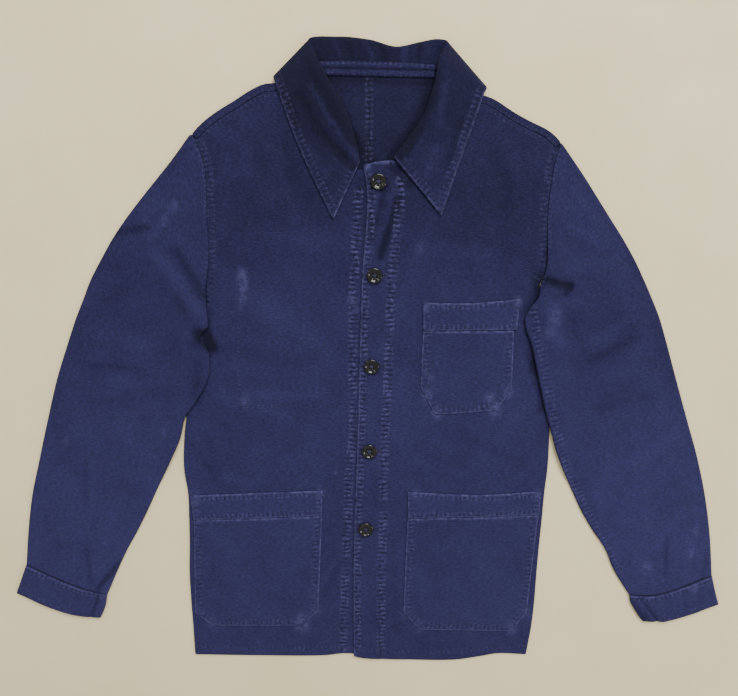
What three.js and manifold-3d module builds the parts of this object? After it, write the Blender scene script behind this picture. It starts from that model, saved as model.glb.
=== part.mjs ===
// Cotton work jacket, buttoned, lying on its back on a floor.
// Millimetres. X to the viewer's right (the wearer's left), Y towards the neck, Z up.
// Every cloth piece is its own body. Body cloth is a sheet of even thickness over one
// shared net of points, cut to the piece's outline, so that sheets which lie on each
// other keep the same gap everywhere. Sleeves and cuffs are flattened tubes. The collar
// is one band that rolls over: leaf on the outside, stand on the inside.

import * as THREE from 'three';
import Module from 'manifold-3d';

const wasm = await Module();
wasm.setup();

// Driving sizes
const CLOTH = 1.2;            // body cloth
const SLEEVE_CLOTH = 1.6;     // sleeve cloth, with its turned seam allowance
const CUFF_CLOTH = 2.2;       // cuffs are two layers
const COLLAR_CLOTH = 2.0;     // collar is two layers
const BAND_CLOTH = 2.0;       // pocket bands are two layers
const PLACKET_EXTRA = 0.8;    // the turned facing makes the front edge thicker
const PLACKET_WIDTH = 36;
const FRONT_OVERLAP = 30;     // how far the under front runs past the top front's edge
const GAP = 0.35;             // air between pieces that touch
const SEAM_GAP = 0.35;        // air between pieces that are sewn edge to edge
const SLEEVE_SET = 0.9;       // how far outside the armhole the sleeve starts
const NECK_SET = 1.4;         // how far outside the collar's seam the body's neck starts
const POCKET_CLOTH = 1.0;     // inside pocket
const CELL = 16;              // net spacing of the body cloth
const FRONT_LOFT = 2.3;       // how far the fronts stand off the back in the middle
const SHOULDER_STRIP = 8.5;   // the back comes this far over the shoulder
const SLEEVE_AIR = 2.4;       // air inside a sleeve
const CUFF_AIR = 2.0;
const ARMPIT_LIFT = 4.3;      // the sleeve lies on the body's edge below the armpit
const LEAF_RISE = 2.25;       // collar leaf's middle above the front it lies on
const UNDER_LEAF = 2.5;       // how far the leaf under the neck lifts the back
const TURN_HEIGHT = 4.9;      // height of the collar's edges where it turns over
const BUTTON_HOLE = 0.95;     // radius of each of the four holes
const HOLE_PLACE = 1.9;       // their distance from the button's two axes
const BUTTON_RADIUS = 9.4;
const BUTTON_HEIGHT = 3.2;
const BUTTON_FACETS = 20;

const BLUE = 0x2c3060;
const HORN = 0x1d1512;

// Small helpers

const mix = (a, b, t) => a + (b - a) * t;

function ease(from, to, x) {
  const t = Math.min(1, Math.max(0, (x - from) / (to - from)));
  return t * t * (3 - 2 * t);
}

// A smooth line through a short list of points, as a plain list of points.
function smoothLine(points, spacing) {
  const curve = new THREE.CatmullRomCurve3(
    points.map(([x, y]) => new THREE.Vector3(x, y, 0)), false, 'centripetal');
  const count = Math.max(2, Math.round(curve.getLength() / spacing));
  return curve.getSpacedPoints(count).map((p) => [p.x, p.y]);
}

// Reads one column of a table at a place between its rows, with no overshoot.
function readColumn(rows, key, column, at) {
  const n = rows.length;
  if (at <= rows[0][key]) {
    return rows[0][column];
  }
  if (at >= rows[n - 1][key]) {
    return rows[n - 1][column];
  }
  let i = 0;
  while (at > rows[i + 1][key]) {
    i += 1;
  }
  const slope = (k) => (rows[k + 1][column] - rows[k][column])
    / (rows[k + 1][key] - rows[k][key]);
  const tangent = (k) => {
    if (k === 0) {
      return slope(0);
    }
    if (k === n - 1) {
      return slope(n - 2);
    }
    const a = slope(k - 1);
    const b = slope(k);
    return a * b <= 0 ? 0 : 2 * a * b / (a + b);
  };
  const h = rows[i + 1][key] - rows[i][key];
  const t = (at - rows[i][key]) / h;
  const t2 = t * t;
  const t3 = t2 * t;
  return (2 * t3 - 3 * t2 + 1) * rows[i][column] + (t3 - 2 * t2 + t) * h * tangent(i)
    + (3 * t2 - 2 * t3) * rows[i + 1][column] + (t3 - t2) * h * tangent(i + 1);
}

function nearestOnSegment(x, y, a, b) {
  const dx = b[0] - a[0];
  const dy = b[1] - a[1];
  const t = Math.min(1, Math.max(0, ((x - a[0]) * dx + (y - a[1]) * dy)
    / (dx * dx + dy * dy)));
  return Math.hypot(x - a[0] - t * dx, y - a[1] - t * dy);
}

function isInside(outline, x, y) {
  let inside = false;
  for (let i = 0, j = outline.length - 1; i < outline.length; j = i, i += 1) {
    const [xi, yi] = outline[i];
    const [xj, yj] = outline[j];
    if ((yi > y) !== (yj > y) && x < (xj - xi) * (y - yi) / (yj - yi) + xi) {
      inside = !inside;
    }
  }
  return inside;
}

function edgeDistance(outline, x, y) {
  let best = Infinity;
  for (let i = 0; i < outline.length; i += 1) {
    const d = nearestOnSegment(x, y, outline[i], outline[(i + 1) % outline.length]);
    best = Math.min(best, d);
  }
  return best;
}

const outsideDistance = (outline, x, y) => (isInside(outline, x, y)
  ? 0 : edgeDistance(outline, x, y));
const insideDistance = (outline, x, y) => (isInside(outline, x, y)
  ? edgeDistance(outline, x, y) : 0);

// One where the outline is near enough for the net to be lifted over it, then down to 0.
function cover(outline, x, y, fall) {
  const full = CELL * 1.45;
  return 1 - ease(full, full + fall, outsideDistance(outline, x, y));
}

// Height of soft folds, each a straight ridge with a width and a height.
function foldHeight(folds, x, y) {
  let height = 0;
  for (const f of folds) {
    const d = nearestOnSegment(x, y, [f.x1, f.y1], [f.x2, f.y2]);
    height += f.high * (1 - ease(0, f.wide, d));
  }
  return height;
}

// Solids

function solidFrom(points, triangles) {
  const mesh = new wasm.Mesh({
    numProp: 3,
    vertProperties: new Float32Array(points.flat()),
    triVerts: new Uint32Array(triangles.flat()),
  });
  return new wasm.Manifold(mesh);
}

// Height of the shared net at any place, read along its own triangles.
function netHeight(height, x, y) {
  const i = Math.floor(x / CELL);
  const j = Math.floor(y / CELL);
  const fx = x / CELL - i;
  const fy = y / CELL - j;
  const at = (a, b) => height(a * CELL, b * CELL);
  if (fx >= fy) {
    return at(i, j) * (1 - fx) + at(i + 1, j) * (fx - fy) + at(i + 1, j + 1) * fy;
  }
  return at(i, j) * (1 - fy) + at(i, j + 1) * (fy - fx) + at(i + 1, j + 1) * fx;
}

// A sheet over the net, from one height to another, around an outline's box.
function netSheet(outline, bottom, top) {
  const xs = outline.map((p) => p[0]);
  const ys = outline.map((p) => p[1]);
  const i0 = Math.floor(Math.min(...xs) / CELL) - 1;
  const i1 = Math.ceil(Math.max(...xs) / CELL) + 1;
  const j0 = Math.floor(Math.min(...ys) / CELL) - 1;
  const j1 = Math.ceil(Math.max(...ys) / CELL) + 1;
  const wide = i1 - i0 + 1;
  const high = j1 - j0 + 1;
  const points = [];
  for (const height of [bottom, top]) {
    for (let j = j0; j <= j1; j += 1) {
      for (let i = i0; i <= i1; i += 1) {
        points.push([i * CELL, j * CELL, height(i * CELL, j * CELL)]);
      }
    }
  }
  const low = (i, j) => j * wide + i;
  const up = (i, j) => wide * high + j * wide + i;
  const triangles = [];
  for (let j = 0; j < high - 1; j += 1) {
    for (let i = 0; i < wide - 1; i += 1) {
      triangles.push([up(i, j), up(i + 1, j), up(i + 1, j + 1)]);
      triangles.push([up(i, j), up(i + 1, j + 1), up(i, j + 1)]);
      triangles.push([low(i, j), low(i + 1, j + 1), low(i + 1, j)]);
      triangles.push([low(i, j), low(i, j + 1), low(i + 1, j + 1)]);
    }
  }
  const wall = (a, b, c, d) => {
    triangles.push([a, b, c]);
    triangles.push([a, c, d]);
  };
  for (let i = 0; i < wide - 1; i += 1) {
    wall(low(i, 0), low(i + 1, 0), up(i + 1, 0), up(i, 0));
    wall(low(i + 1, high - 1), low(i, high - 1), up(i, high - 1), up(i + 1, high - 1));
  }
  for (let j = 0; j < high - 1; j += 1) {
    wall(low(0, j + 1), low(0, j), up(0, j), up(0, j + 1));
    wall(low(wide - 1, j), low(wide - 1, j + 1), up(wide - 1, j + 1), up(wide - 1, j));
  }
  return solidFrom(points, triangles);
}

// An upright block with the outline as its plan.
function prism(outline, from, to) {
  const points = [];
  for (const z of [from, to]) {
    for (const [x, y] of outline) {
      points.push([x, y, z]);
    }
  }
  const n = outline.length;
  const plan = outline.map(([x, y]) => new THREE.Vector2(x, y));
  const turned = THREE.ShapeUtils.isClockWise(plan);
  const triangles = [];
  for (const [a, b, c] of THREE.ShapeUtils.triangulateShape(plan, [])) {
    const flip = THREE.ShapeUtils.area([plan[a], plan[b], plan[c]]) < 0;
    const face = flip ? [a, c, b] : [a, b, c];
    triangles.push(face.map((k) => k + n));
    triangles.push([face[0], face[2], face[1]]);
  }
  for (let i = 0; i < n; i += 1) {
    const a = turned ? (i + 1) % n : i;
    const b = turned ? i : (i + 1) % n;
    triangles.push([a, b, b + n]);
    triangles.push([a, b + n, a + n]);
  }
  return solidFrom(points, triangles);
}

function cutSheet(outline, bottom, top) {
  return netSheet(outline, bottom, top).intersect(prism(outline, -5, 60));
}

const group = new THREE.Group();
group.name = 'chore_jacket';

function addSolid(name, solid, colour, roughness) {
  const tidy = solid.simplify(0.012);
  const { vertProperties, triVerts, numProp } = tidy.getMesh();
  const positions = new Float32Array(vertProperties.length / numProp * 3);
  for (let i = 0; i < positions.length / 3; i += 1) {
    for (let k = 0; k < 3; k += 1) {
      positions[i * 3 + k] = vertProperties[i * numProp + k];
    }
  }
  const geometry = new THREE.BufferGeometry();
  geometry.setAttribute('position', new THREE.BufferAttribute(positions, 3));
  geometry.setIndex(Array.from(triVerts));
  geometry.computeVertexNormals();
  const material = new THREE.MeshStandardMaterial({ color: colour, roughness });
  const mesh = new THREE.Mesh(geometry, material);
  mesh.name = name;
  group.add(mesh);
}

// Outlines of the body, read off the photo and rounded

const shoulderRight = [[-73, 311.5], [-106, 307.5], [-120, 306], [-135, 299.5],
  [-154, 288.5], [-173, 277.5], [-189, 266.5], [-201, 255.5], [-204.5, 251]];
const armholeRight = [[-204.5, 251], [-200, 243], [-195.5, 230], [-191.5, 213],
  [-190.5, 187], [-191.5, 156], [-191, 123], [-191.5, 104], [-196.5, 73], [-201, 54]];
const sideRight = [[-201, 54], [-210, 10], [-219, -40], [-227, -85], [-231.5, -114],
  [-234, -157], [-230.5, -190], [-231, -225], [-232, -260], [-234, -295],
  [-234, -338], [-233, -380], [-232.5, -419.5]];
const shoulderLeft = [[101, 308], [126, 295], [136, 292.5], [145, 288.5],
  [163, 277.5], [184, 266.5], [207, 255.5], [219, 245.5], [222, 241.5]];
const armholeLeft = [[222, 241.5], [219, 230], [215.5, 214], [212.5, 188],
  [211, 162], [212, 126], [212, 100], [209, 87], [205, 78]];
const sideLeft = [[205, 78], [211, 40], [216, 0], [220.5, -40], [224, -80],
  [226, -114], [226, -155], [223.5, -190], [222, -226], [220, -267],
  [218.5, -310], [217.5, -345], [215, -380], [210, -419.5]];
const hemRight = [[-232.5, -419.5], [-150, -421], [-60, -421], [-33, -418], [10, -421]];
const hemLeft = [[-20.5, -421], [-8, -424], [30, -426], [60, -427.5], [115, -427.5],
  [150, -422], [172, -418], [210, -419.5]];
// The top front's free edge, from the neck down
const frontEdge = [[-7, 217], [-3, 192], [-2.5, 165], [-5, 130], [-8, 95], [-10, 40],
  [-12, -20], [-13.5, -75], [-15, -130], [-17, -185], [-19.5, -257], [-20.5, -340],
  [-20.5, -421]];

// The collar, a row per section from the right front's tip round the neck to the left's.
// fold: where it rolls over. leaf: its free edge. seam: where it is sewn to the neck.
// over: 1 the leaf lies on top, -1 it lies under the back, 0 it turns over the shoulder.
const collarRows = [
  { k: 0, fx: -11, fy: 219, fz: 6.0, lx: -42, ly: 154, sx: -15, sy: 213, over: 1 },
  { k: 1, fx: -15, fy: 238, fz: 6.6, lx: -58, ly: 187, sx: -26, sy: 229, over: 1 },
  { k: 2, fx: -21, fy: 260, fz: 7.6, lx: -74, ly: 221, sx: -37, sy: 251, over: 1 },
  { k: 3, fx: -30, fy: 283, fz: 9.0, lx: -88, ly: 255, sx: -50, sy: 273, over: 1 },
  { k: 4, fx: -43, fy: 305, fz: 10.4, lx: -98, ly: 283, sx: -63, sy: 291, over: 1 },
  { k: 5, fx: -56, fy: 327, fz: 11.4, lx: -105.5, ly: 305.5, sx: -71, sy: 303, over: 1 },
  { k: 6, fx: -66, fy: 353, fz: 9.4, lx: -108.5, ly: 313.5, sx: -71, sy: 314, over: 0 },
  { k: 7, fx: -51, fy: 356, fz: 5.2, lx: -102, ly: 309.5, sx: -56, sy: 323, over: -1 },
  { k: 8, fx: -30, fy: 356, fz: 3.6, lx: -62, ly: 290, sx: -34, sy: 326, over: -1 },
  { k: 9, fx: 0, fy: 353, fz: 3.4, lx: -10, ly: 284, sx: 0, sy: 326.5, over: -1 },
  { k: 10, fx: 31, fy: 345.5, fz: 3.4, lx: 30, ly: 282, sx: 31, sy: 324.5, over: -1 },
  { k: 11, fx: 56, fy: 350, fz: 3.7, lx: 72, ly: 283, sx: 58, sy: 323, over: -1 },
  { k: 12, fx: 75, fy: 353, fz: 5.6, lx: 126, ly: 297.5, sx: 84, sy: 320, over: -1 },
  { k: 13, fx: 87, fy: 350, fz: 10.2, lx: 134, ly: 301.5, sx: 99, sy: 313, over: 0 },
  { k: 14, fx: 79, fy: 331, fz: 12.4, lx: 131, ly: 296.5, sx: 100, sy: 303, over: 1 },
  { k: 15, fx: 76, fy: 313, fz: 12.4, lx: 124, ly: 275, sx: 97, sy: 291, over: 1 },
  { k: 16, fx: 71, fy: 294, fz: 11.6, lx: 117, ly: 255, sx: 91, sy: 276, over: 1 },
  { k: 17, fx: 64, fy: 274, fz: 10.6, lx: 110, ly: 234, sx: 81, sy: 260, over: 1 },
  { k: 18, fx: 53, fy: 256, fz: 9.8, lx: 102, ly: 211, sx: 67, sy: 244, over: 1 },
  { k: 19, fx: 40, fy: 239, fz: 9.2, lx: 94, ly: 186, sx: 50, sy: 231, over: 1 },
  { k: 20, fx: 29, fy: 225, fz: 8.8, lx: 85, ly: 159, sx: 34, sy: 221, over: 1 },
];
const LAST_ROW = collarRows.length - 1;
const readCollar = (column, k) => readColumn(collarRows, 'k', column, k);

// The neck edge of the body cloth runs just outside the collar's seam.
function neckEdge(from, to) {
  const points = [];
  const steps = Math.round(Math.abs(to - from) * 2);
  for (let i = 0; i <= steps; i += 1) {
    const k = mix(from, to, i / steps);
    const dx = readCollar('sx', k) - readCollar('fx', k);
    const dy = readCollar('sy', k) - readCollar('fy', k);
    const away = NECK_SET / Math.hypot(dx, dy);
    points.push([readCollar('sx', k) + dx * away, readCollar('sy', k) + dy * away]);
  }
  return points;
}

// Moves a line sideways, to the left of its own direction.
function moved(line, distance) {
  return line.map(([x, y], i) => {
    const a = line[Math.max(0, i - 1)];
    const b = line[Math.min(line.length - 1, i + 1)];
    const length = Math.hypot(b[0] - a[0], b[1] - a[1]);
    return [x - (b[1] - a[1]) / length * distance, y + (b[0] - a[0]) / length * distance];
  });
}

const STEP = 13;
const shoulderRightLine = smoothLine(shoulderRight, STEP);
const shoulderLeftLine = smoothLine(shoulderLeft, STEP);
const armholeRightLine = smoothLine(armholeRight, STEP);
const armholeLeftLine = smoothLine(armholeLeft, STEP);
const sideRightLine = smoothLine(sideRight, 22);
const sideLeftLine = smoothLine(sideLeft, 22);
const frontEdgeLine = smoothLine(frontEdge, 26);
const hemRightLine = smoothLine(hemRight, 26);
const hemLeftLine = smoothLine(hemLeft, 20);
const reversed = (line) => [...line].reverse();
const inner = (line, n = 1) => line.slice(n, line.length - n);

// The whole body as it lies, for measuring how far a place is from the edge
const bodyOutline = [
  ...shoulderRightLine, ...armholeRightLine.slice(1), ...sideRightLine.slice(1),
  ...hemLeftLine.slice(1), ...reversed(sideLeftLine).slice(1),
  ...reversed(armholeLeftLine).slice(1), ...reversed(shoulderLeftLine).slice(1),
];

// The part of the collar's leaf that lies on the floor
const floorLeaf = [[-108, 313], [-101, 305], [-62, 290], [-10, 284], [30, 282],
  [72, 283], [124, 291], [132, 300], [87, 350], [0, 353], [-66, 353]];

// Where each sheet lies

const insidePocket = [[-157, 92], [-30, 94], [-24, -73], [-156, -75]];

// Soft folds of the fronts: ends, half width, height
const frontFolds = [
  { x1: -178, y1: 88, x2: -120, y2: 30, wide: 26, high: 0.9 },
  { x1: -140, y1: 200, x2: -95, y2: 150, wide: 28, high: 0.8 },
  { x1: -215, y1: -120, x2: -120, y2: -150, wide: 24, high: 0.7 },
  { x1: 185, y1: 30, x2: 196, y2: -120, wide: 26, high: 0.9 },
  { x1: 150, y1: 190, x2: 110, y2: 120, wide: 28, high: 0.8 },
  { x1: 205, y1: -140, x2: 120, y2: -120, wide: 24, high: 0.7 },
  { x1: 20, y1: -300, x2: 30, y2: -400, wide: 24, high: 0.6 },
];
// The stretch of the body's edges that the sleeves lie on
const armpits = [[[-196, 70], [-226, -100]], [[204, 84], [222, -100]]];

const backBottom = (x, y) => UNDER_LEAF * cover(floorLeaf, x, y, 34);
const backTop = (x, y) => backBottom(x, y) + CLOTH;

function frontLoft(x, y) {
  let loft = FRONT_LOFT * ease(4, 75, insideDistance(bodyOutline, x, y));
  loft += foldHeight(frontFolds, x, y) * ease(4, 40, insideDistance(bodyOutline, x, y));
  for (const [a, b] of armpits) {
    loft *= 0.12 + 0.88 * ease(34, 80, nearestOnSegment(x, y, a, b));
  }
  return loft * (1 - 0.75 * ease(205, 285, y));
}
const frontBottom = (x, y) => backTop(x, y) + GAP
  + (POCKET_CLOTH + GAP) * cover(insidePocket, x, y, 30) + frontLoft(x, y);
const frontTop = (x, y) => frontBottom(x, y) + CLOTH;

// Outline of the under front, the wearer's right
const underEdge = frontEdgeLine.map(([x, y]) => [x + FRONT_OVERLAP, y - 4]);
const frontRightOutline = [
  ...neckEdge(0, 5),
  ...moved(shoulderRightLine, SHOULDER_STRIP + SEAM_GAP).filter(([x]) => x < -76),
  ...inner(armholeRightLine), ...sideRightLine,
  ...inner(hemRightLine), ...reversed(underEdge),
];
const lap = (x, y) => cover(frontRightOutline, x, y, 26);

// The top front, the wearer's left, with its thicker edge
const frontLeftOutline = [
  ...frontEdgeLine, ...inner(hemLeftLine), ...reversed(sideLeftLine),
  ...inner(reversed(armholeLeftLine)),
  ...reversed(moved(shoulderLeftLine, -SHOULDER_STRIP - SEAM_GAP)).filter(([x]) => x > 108),
  ...neckEdge(14.5, 20), [27, 222.5], [10, 221],
];
const edgeX = (y) => readColumn(
  frontEdge.map(([ex, ey]) => ({ at: -ey, x: ex })), 'at', 'x', -y);
const topBottom = (x, y) => frontBottom(x, y) + (CLOTH + GAP) * lap(x, y);
const topTop = (x, y) => topBottom(x, y) + CLOTH
  + PLACKET_EXTRA * (1 - ease(PLACKET_WIDTH - 4, PLACKET_WIDTH + 12, x - edgeX(y)));

// Body pieces

// The back goes over the shoulder as one fold: a sheet below, a strip on top, and the
// fold that joins them along the shoulder.
function backPanel(outline, shoulderLine, side, corner) {
  const sheet = cutSheet(outline, backBottom, backTop);
  const edge = moved(shoulderLine, side * SHOULDER_STRIP)
    .filter(([x]) => Math.abs(x) > Math.abs(corner[0]) + 2.5);
  const strip = [...shoulderLine, ...reversed(edge), corner];
  const fold = [...shoulderLine, ...reversed(moved(shoulderLine, side * CLOTH * 1.3))];
  const onTop = cutSheet(strip, frontBottom, frontTop);
  const turn = cutSheet(fold, backBottom, frontTop);
  return sheet.add(onTop).add(turn);
}

const BACK_HEM = -415;
const backRightOutline = [
  ...neckEdge(9, 6), ...shoulderRightLine.slice(1), ...armholeRightLine.slice(1),
  ...sideRightLine.slice(1, -1), [-232.3, BACK_HEM],
  [-SEAM_GAP / 2, BACK_HEM],
];
const backLeftOutline = [
  ...neckEdge(9, 13), ...shoulderLeftLine.slice(1), ...armholeLeftLine.slice(1),
  ...sideLeftLine.slice(1, -1), [210.6, BACK_HEM],
  [SEAM_GAP / 2, BACK_HEM],
];
const clipX = (outline, sign) => outline.map(([x, y]) => [
  sign * Math.max(SEAM_GAP / 2, sign * x), y]);
addSolid('back_panel_right',
  backPanel(clipX(backRightOutline, -1), shoulderRightLine, 1, [-73.8, 303.6]), BLUE, 0.9);
addSolid('back_panel_left',
  backPanel(clipX(backLeftOutline, 1), shoulderLeftLine, -1, [101.9, 300.4]), BLUE, 0.9);

addSolid('inside_pocket', cutSheet(insidePocket, (x, y) => backTop(x, y) + GAP,
  (x, y) => backTop(x, y) + GAP + POCKET_CLOTH), BLUE, 0.9);
addSolid('front_right', cutSheet(frontRightOutline, frontBottom, frontTop), BLUE, 0.9);
addSolid('front_left', cutSheet(frontLeftOutline, topBottom, topTop), BLUE, 0.9);

// Patch pockets, each a bag with a band sewn along its mouth

function addPocket(bagName, bandName, bag, band, on) {
  const bagBottom = (x, y) => on(x, y) + GAP
    + 0.5 * ease(0, 60, insideDistance(bag, x, y));
  addSolid(bagName, cutSheet(bag, bagBottom, (x, y) => bagBottom(x, y) + CLOTH),
    BLUE, 0.9);
  const bandBottom = (x, y) => on(x, y) + GAP;
  addSolid(bandName, cutSheet(band, bandBottom, (x, y) => bandBottom(x, y) + BAND_CLOTH),
    BLUE, 0.9);
}

addPocket('chest_pocket', 'chest_band',
  [[65.5, 21], [64, -20], [63, -49], [81.5, -84], [120, -82], [158, -79],
    [176.5, -53], [176.5, -20], [176, 21.5]],
  [[65, 56.5], [90, 55.5], [125, 55.5], [160, 58], [182.5, 60.5], [179.5, 22.2],
    [120, 22], [65.5, 21.4]], topTop);
addPocket('lower_pocket_left', 'lower_band_left',
  [[49, -223], [45, -355], [67, -381], [188, -384], [208, -357], [217, -219]],
  [[49, -186], [90, -188.5], [135, -190.5], [180, -188.5], [219, -186],
    [218, -218.6], [135, -220.5], [50, -222.6]], topTop);
addPocket('lower_pocket_right', 'lower_band_right',
  [[-225, -226], [-229.5, -357], [-208, -375.5], [-88, -375], [-66.5, -353],
    [-60, -219]],
  [[-228, -192], [-145, -187.5], [-59, -184.5], [-60, -218.6], [-225, -225.6]],
  frontTop);

// Sleeves and cuffs: flattened tubes

const acrossTop = [0.06, 0.14, 0.23, 0.32, 0.41, 0.5, 0.59, 0.68, 0.77, 0.86, 0.94];
const acrossBottom = [0.93, 0.85, 0.76, 0.6, 0.38, 0.16];

// rings: each has the ends of its chord, a bend across it, and how full it stands.
// place(ring, u) gives the plan point; low(x, y) the floor under it.
function flatTube(rings, place, low, full, cloth, folds) {
  const points = [];
  const triangles = [];
  let around = 0;
  for (const wall of [0, 1]) {
    for (const ring of rings) {
      const length = Math.hypot(ring.ox - ring.ix, ring.oy - ring.iy);
      const inset = wall * cloth * 1.12;
      const loop = [];
      const edgeHeight = 2 * cloth + 0.5;
      const top = (u) => {
        const [x, y] = place(ring, u);
        const toEdge = Math.min(u, 1 - u) * length;
        const puff = (full(ring) - edgeHeight) * ease(0, 34, toEdge);
        return low(x, y) + edgeHeight + puff
          + foldHeight(folds, x, y) * ease(2, 22, toEdge);
      };
      const spot = (u, z) => {
        const [x, y] = place(ring, u);
        loop.push([x, y, z]);
      };
      const at = (u) => mix(inset / length, 1 - inset / length, u);
      const near = 1.3 / length;
      const edgeZ = (u) => {
        const [x, y] = place(ring, u);
        return low(x, y) + edgeHeight / 2;
      };
      spot(at(0), edgeZ(at(0)));
      for (const u of [near, ...acrossTop, 1 - near]) {
        spot(at(u), top(at(u)) - wall * cloth - (u === near || u === 1 - near ? 0.25 : 0));
      }
      spot(at(1), edgeZ(at(1)));
      for (const u of [1 - near, ...acrossBottom, near]) {
        const [x, y] = place(ring, at(u));
        spot(at(u), low(x, y) + wall * cloth);
      }
      around = loop.length;
      points.push(...loop);
    }
  }
  const id = (wall, r, i) => (wall * rings.length + r) * around + (i + around) % around;
  const quad = (a, b, c, d, flip) => {
    triangles.push(flip ? [a, c, b] : [a, b, c]);
    triangles.push(flip ? [a, d, c] : [a, c, d]);
  };
  for (const wall of [0, 1]) {
    for (let r = 0; r < rings.length - 1; r += 1) {
      for (let i = 0; i < around; i += 1) {
        quad(id(wall, r, i), id(wall, r, i + 1), id(wall, r + 1, i + 1),
          id(wall, r + 1, i), wall === 1);
      }
    }
  }
  const last = rings.length - 1;
  for (let i = 0; i < around; i += 1) {
    quad(id(0, 0, i + 1), id(0, 0, i), id(1, 0, i), id(1, 0, i + 1), false);
    quad(id(0, last, i), id(0, last, i + 1), id(1, last, i + 1), id(1, last, i), false);
  }
  let solid = solidFrom(points, triangles);
  if (solid.volume() < 0) {
    solid = solidFrom(points, triangles.map(([a, b, c]) => [a, c, b]));
  }
  return solid;
}

// A sleeve's two edges by height on the page: x of each edge at some values of y
const rightOuter = [[251.5, -206.5], [223, -229], [200, -249], [177, -269], [154, -288],
  [131, -305], [107, -320], [83, -334], [59, -345], [35, -356], [10, -366], [-40, -385],
  [-92, -401], [-144, -416], [-198, -431], [-253, -441], [-288.5, -446]];
const rightInner = [[54, -201.5], [40, -195], [10, -195], [-26, -195], [-48, -202],
  [-67, -213.5], [-90, -229], [-113, -235], [-144, -249], [-185, -270], [-212, -283],
  [-239, -297], [-267, -313], [-295, -327], [-331, -343.5]];
const leftOuter = [[242, 222.6], [223, 237], [200, 254], [177, 270], [154, 286],
  [131, 302], [107, 317], [83, 330], [59, 342], [35, 353], [10, 362], [-40, 379],
  [-92, 397], [-144, 415], [-198, 430], [-253, 441], [-304.5, 448]];
const leftInner = [[78, 205.5], [60, 202.5], [48, 193], [36, 188], [22, 190.5],
  [4, 197.5], [-38, 208], [-74, 217], [-109, 227.5], [-131, 234], [-158, 245],
  [-185, 258], [-212, 271], [-239, 287], [-267, 306], [-295, 318.5], [-331.5, 341.5]];
// How the rings are spread: y of the outer and the inner end
const rightRings = [[0, 251, 54], [0.1, 204, 38], [0.2, 152, 12], [0.3, 95, -22],
  [0.4, 38, -60], [0.5, -20, -102], [0.6, -76, -146], [0.7, -132, -192],
  [0.8, -186, -239], [0.9, -239, -286], [1, -288, -331]];
const leftRings = [[0, 241.5, 78], [0.1, 196, 56], [0.2, 146, 26], [0.3, 90, -10],
  [0.4, 33, -50], [0.5, -25, -94], [0.6, -82, -140], [0.7, -139, -187],
  [0.8, -195, -236], [0.9, -250, -285], [1, -304, -331]];
const ringStops = [0, 0.015, 0.035, 0.06, 0.09, 0.125, 0.16, 0.2, 0.25, 0.3, 0.35, 0.4,
  0.45, 0.5, 0.55, 0.6, 0.65, 0.7, 0.75, 0.8, 0.85, 0.9, 0.95, 0.98, 1];

const rightSleeveFolds = [
  { x1: -262, y1: 152, x2: -222, y2: 180, wide: 22, high: 1.2 },
  { x1: -236, y1: 84, x2: -204, y2: 48, wide: 20, high: 1.6 },
  { x1: -330, y1: 40, x2: -262, y2: -40, wide: 24, high: 1.2 },
  { x1: -372, y1: -110, x2: -300, y2: -170, wide: 22, high: 1.1 },
  { x1: -410, y1: -240, x2: -350, y2: -262, wide: 20, high: 1.0 },
];
const leftSleeveFolds = [
  { x1: 276, y1: 150, x2: 240, y2: 170, wide: 22, high: 1.1 },
  { x1: 240, y1: 78, x2: 202, y2: 58, wide: 18, high: 1.7 },
  { x1: 330, y1: 50, x2: 262, y2: -50, wide: 24, high: 1.2 },
  { x1: 232, y1: -70, x2: 312, y2: -268, wide: 14, high: 1.3 },
  { x1: 400, y1: -190, x2: 345, y2: -240, wide: 22, high: 1.0 },
];

function readLine(line, y) {
  const rows = line.map(([at, x]) => ({ at: -at, x }));
  return readColumn(rows, 'at', 'x', -y);
}

function alongLine(line, u) {
  const lengths = [0];
  for (let i = 1; i < line.length; i += 1) {
    lengths.push(lengths[i - 1]
      + Math.hypot(line[i][0] - line[i - 1][0], line[i][1] - line[i - 1][1]));
  }
  const want = Math.min(Math.max(u, 0), 1) * lengths[lengths.length - 1];
  let i = 0;
  while (i < line.length - 2 && want > lengths[i + 1]) {
    i += 1;
  }
  const t = (want - lengths[i]) / (lengths[i + 1] - lengths[i]);
  return [mix(line[i][0], line[i + 1][0], t), mix(line[i][1], line[i + 1][1], t)];
}

function armpitFloor(x, y, armpitY) {
  return ARMPIT_LIFT * (1 - ease(12, 34, outsideDistance(bodyOutline, x, y)))
    * (1 - ease(armpitY + 34, armpitY + 66, y));
}

// The cuff seam, and how it bows out of its chord
const RIGHT_CUFF_BOW = 4;
const LEFT_CUFF_BOW = 8.5;
const rightCuffShape = (u) => Math.sin(Math.PI * u ** 1.25);
const leftCuffShape = (u) => Math.sin(Math.PI * u ** 1.4);

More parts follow.
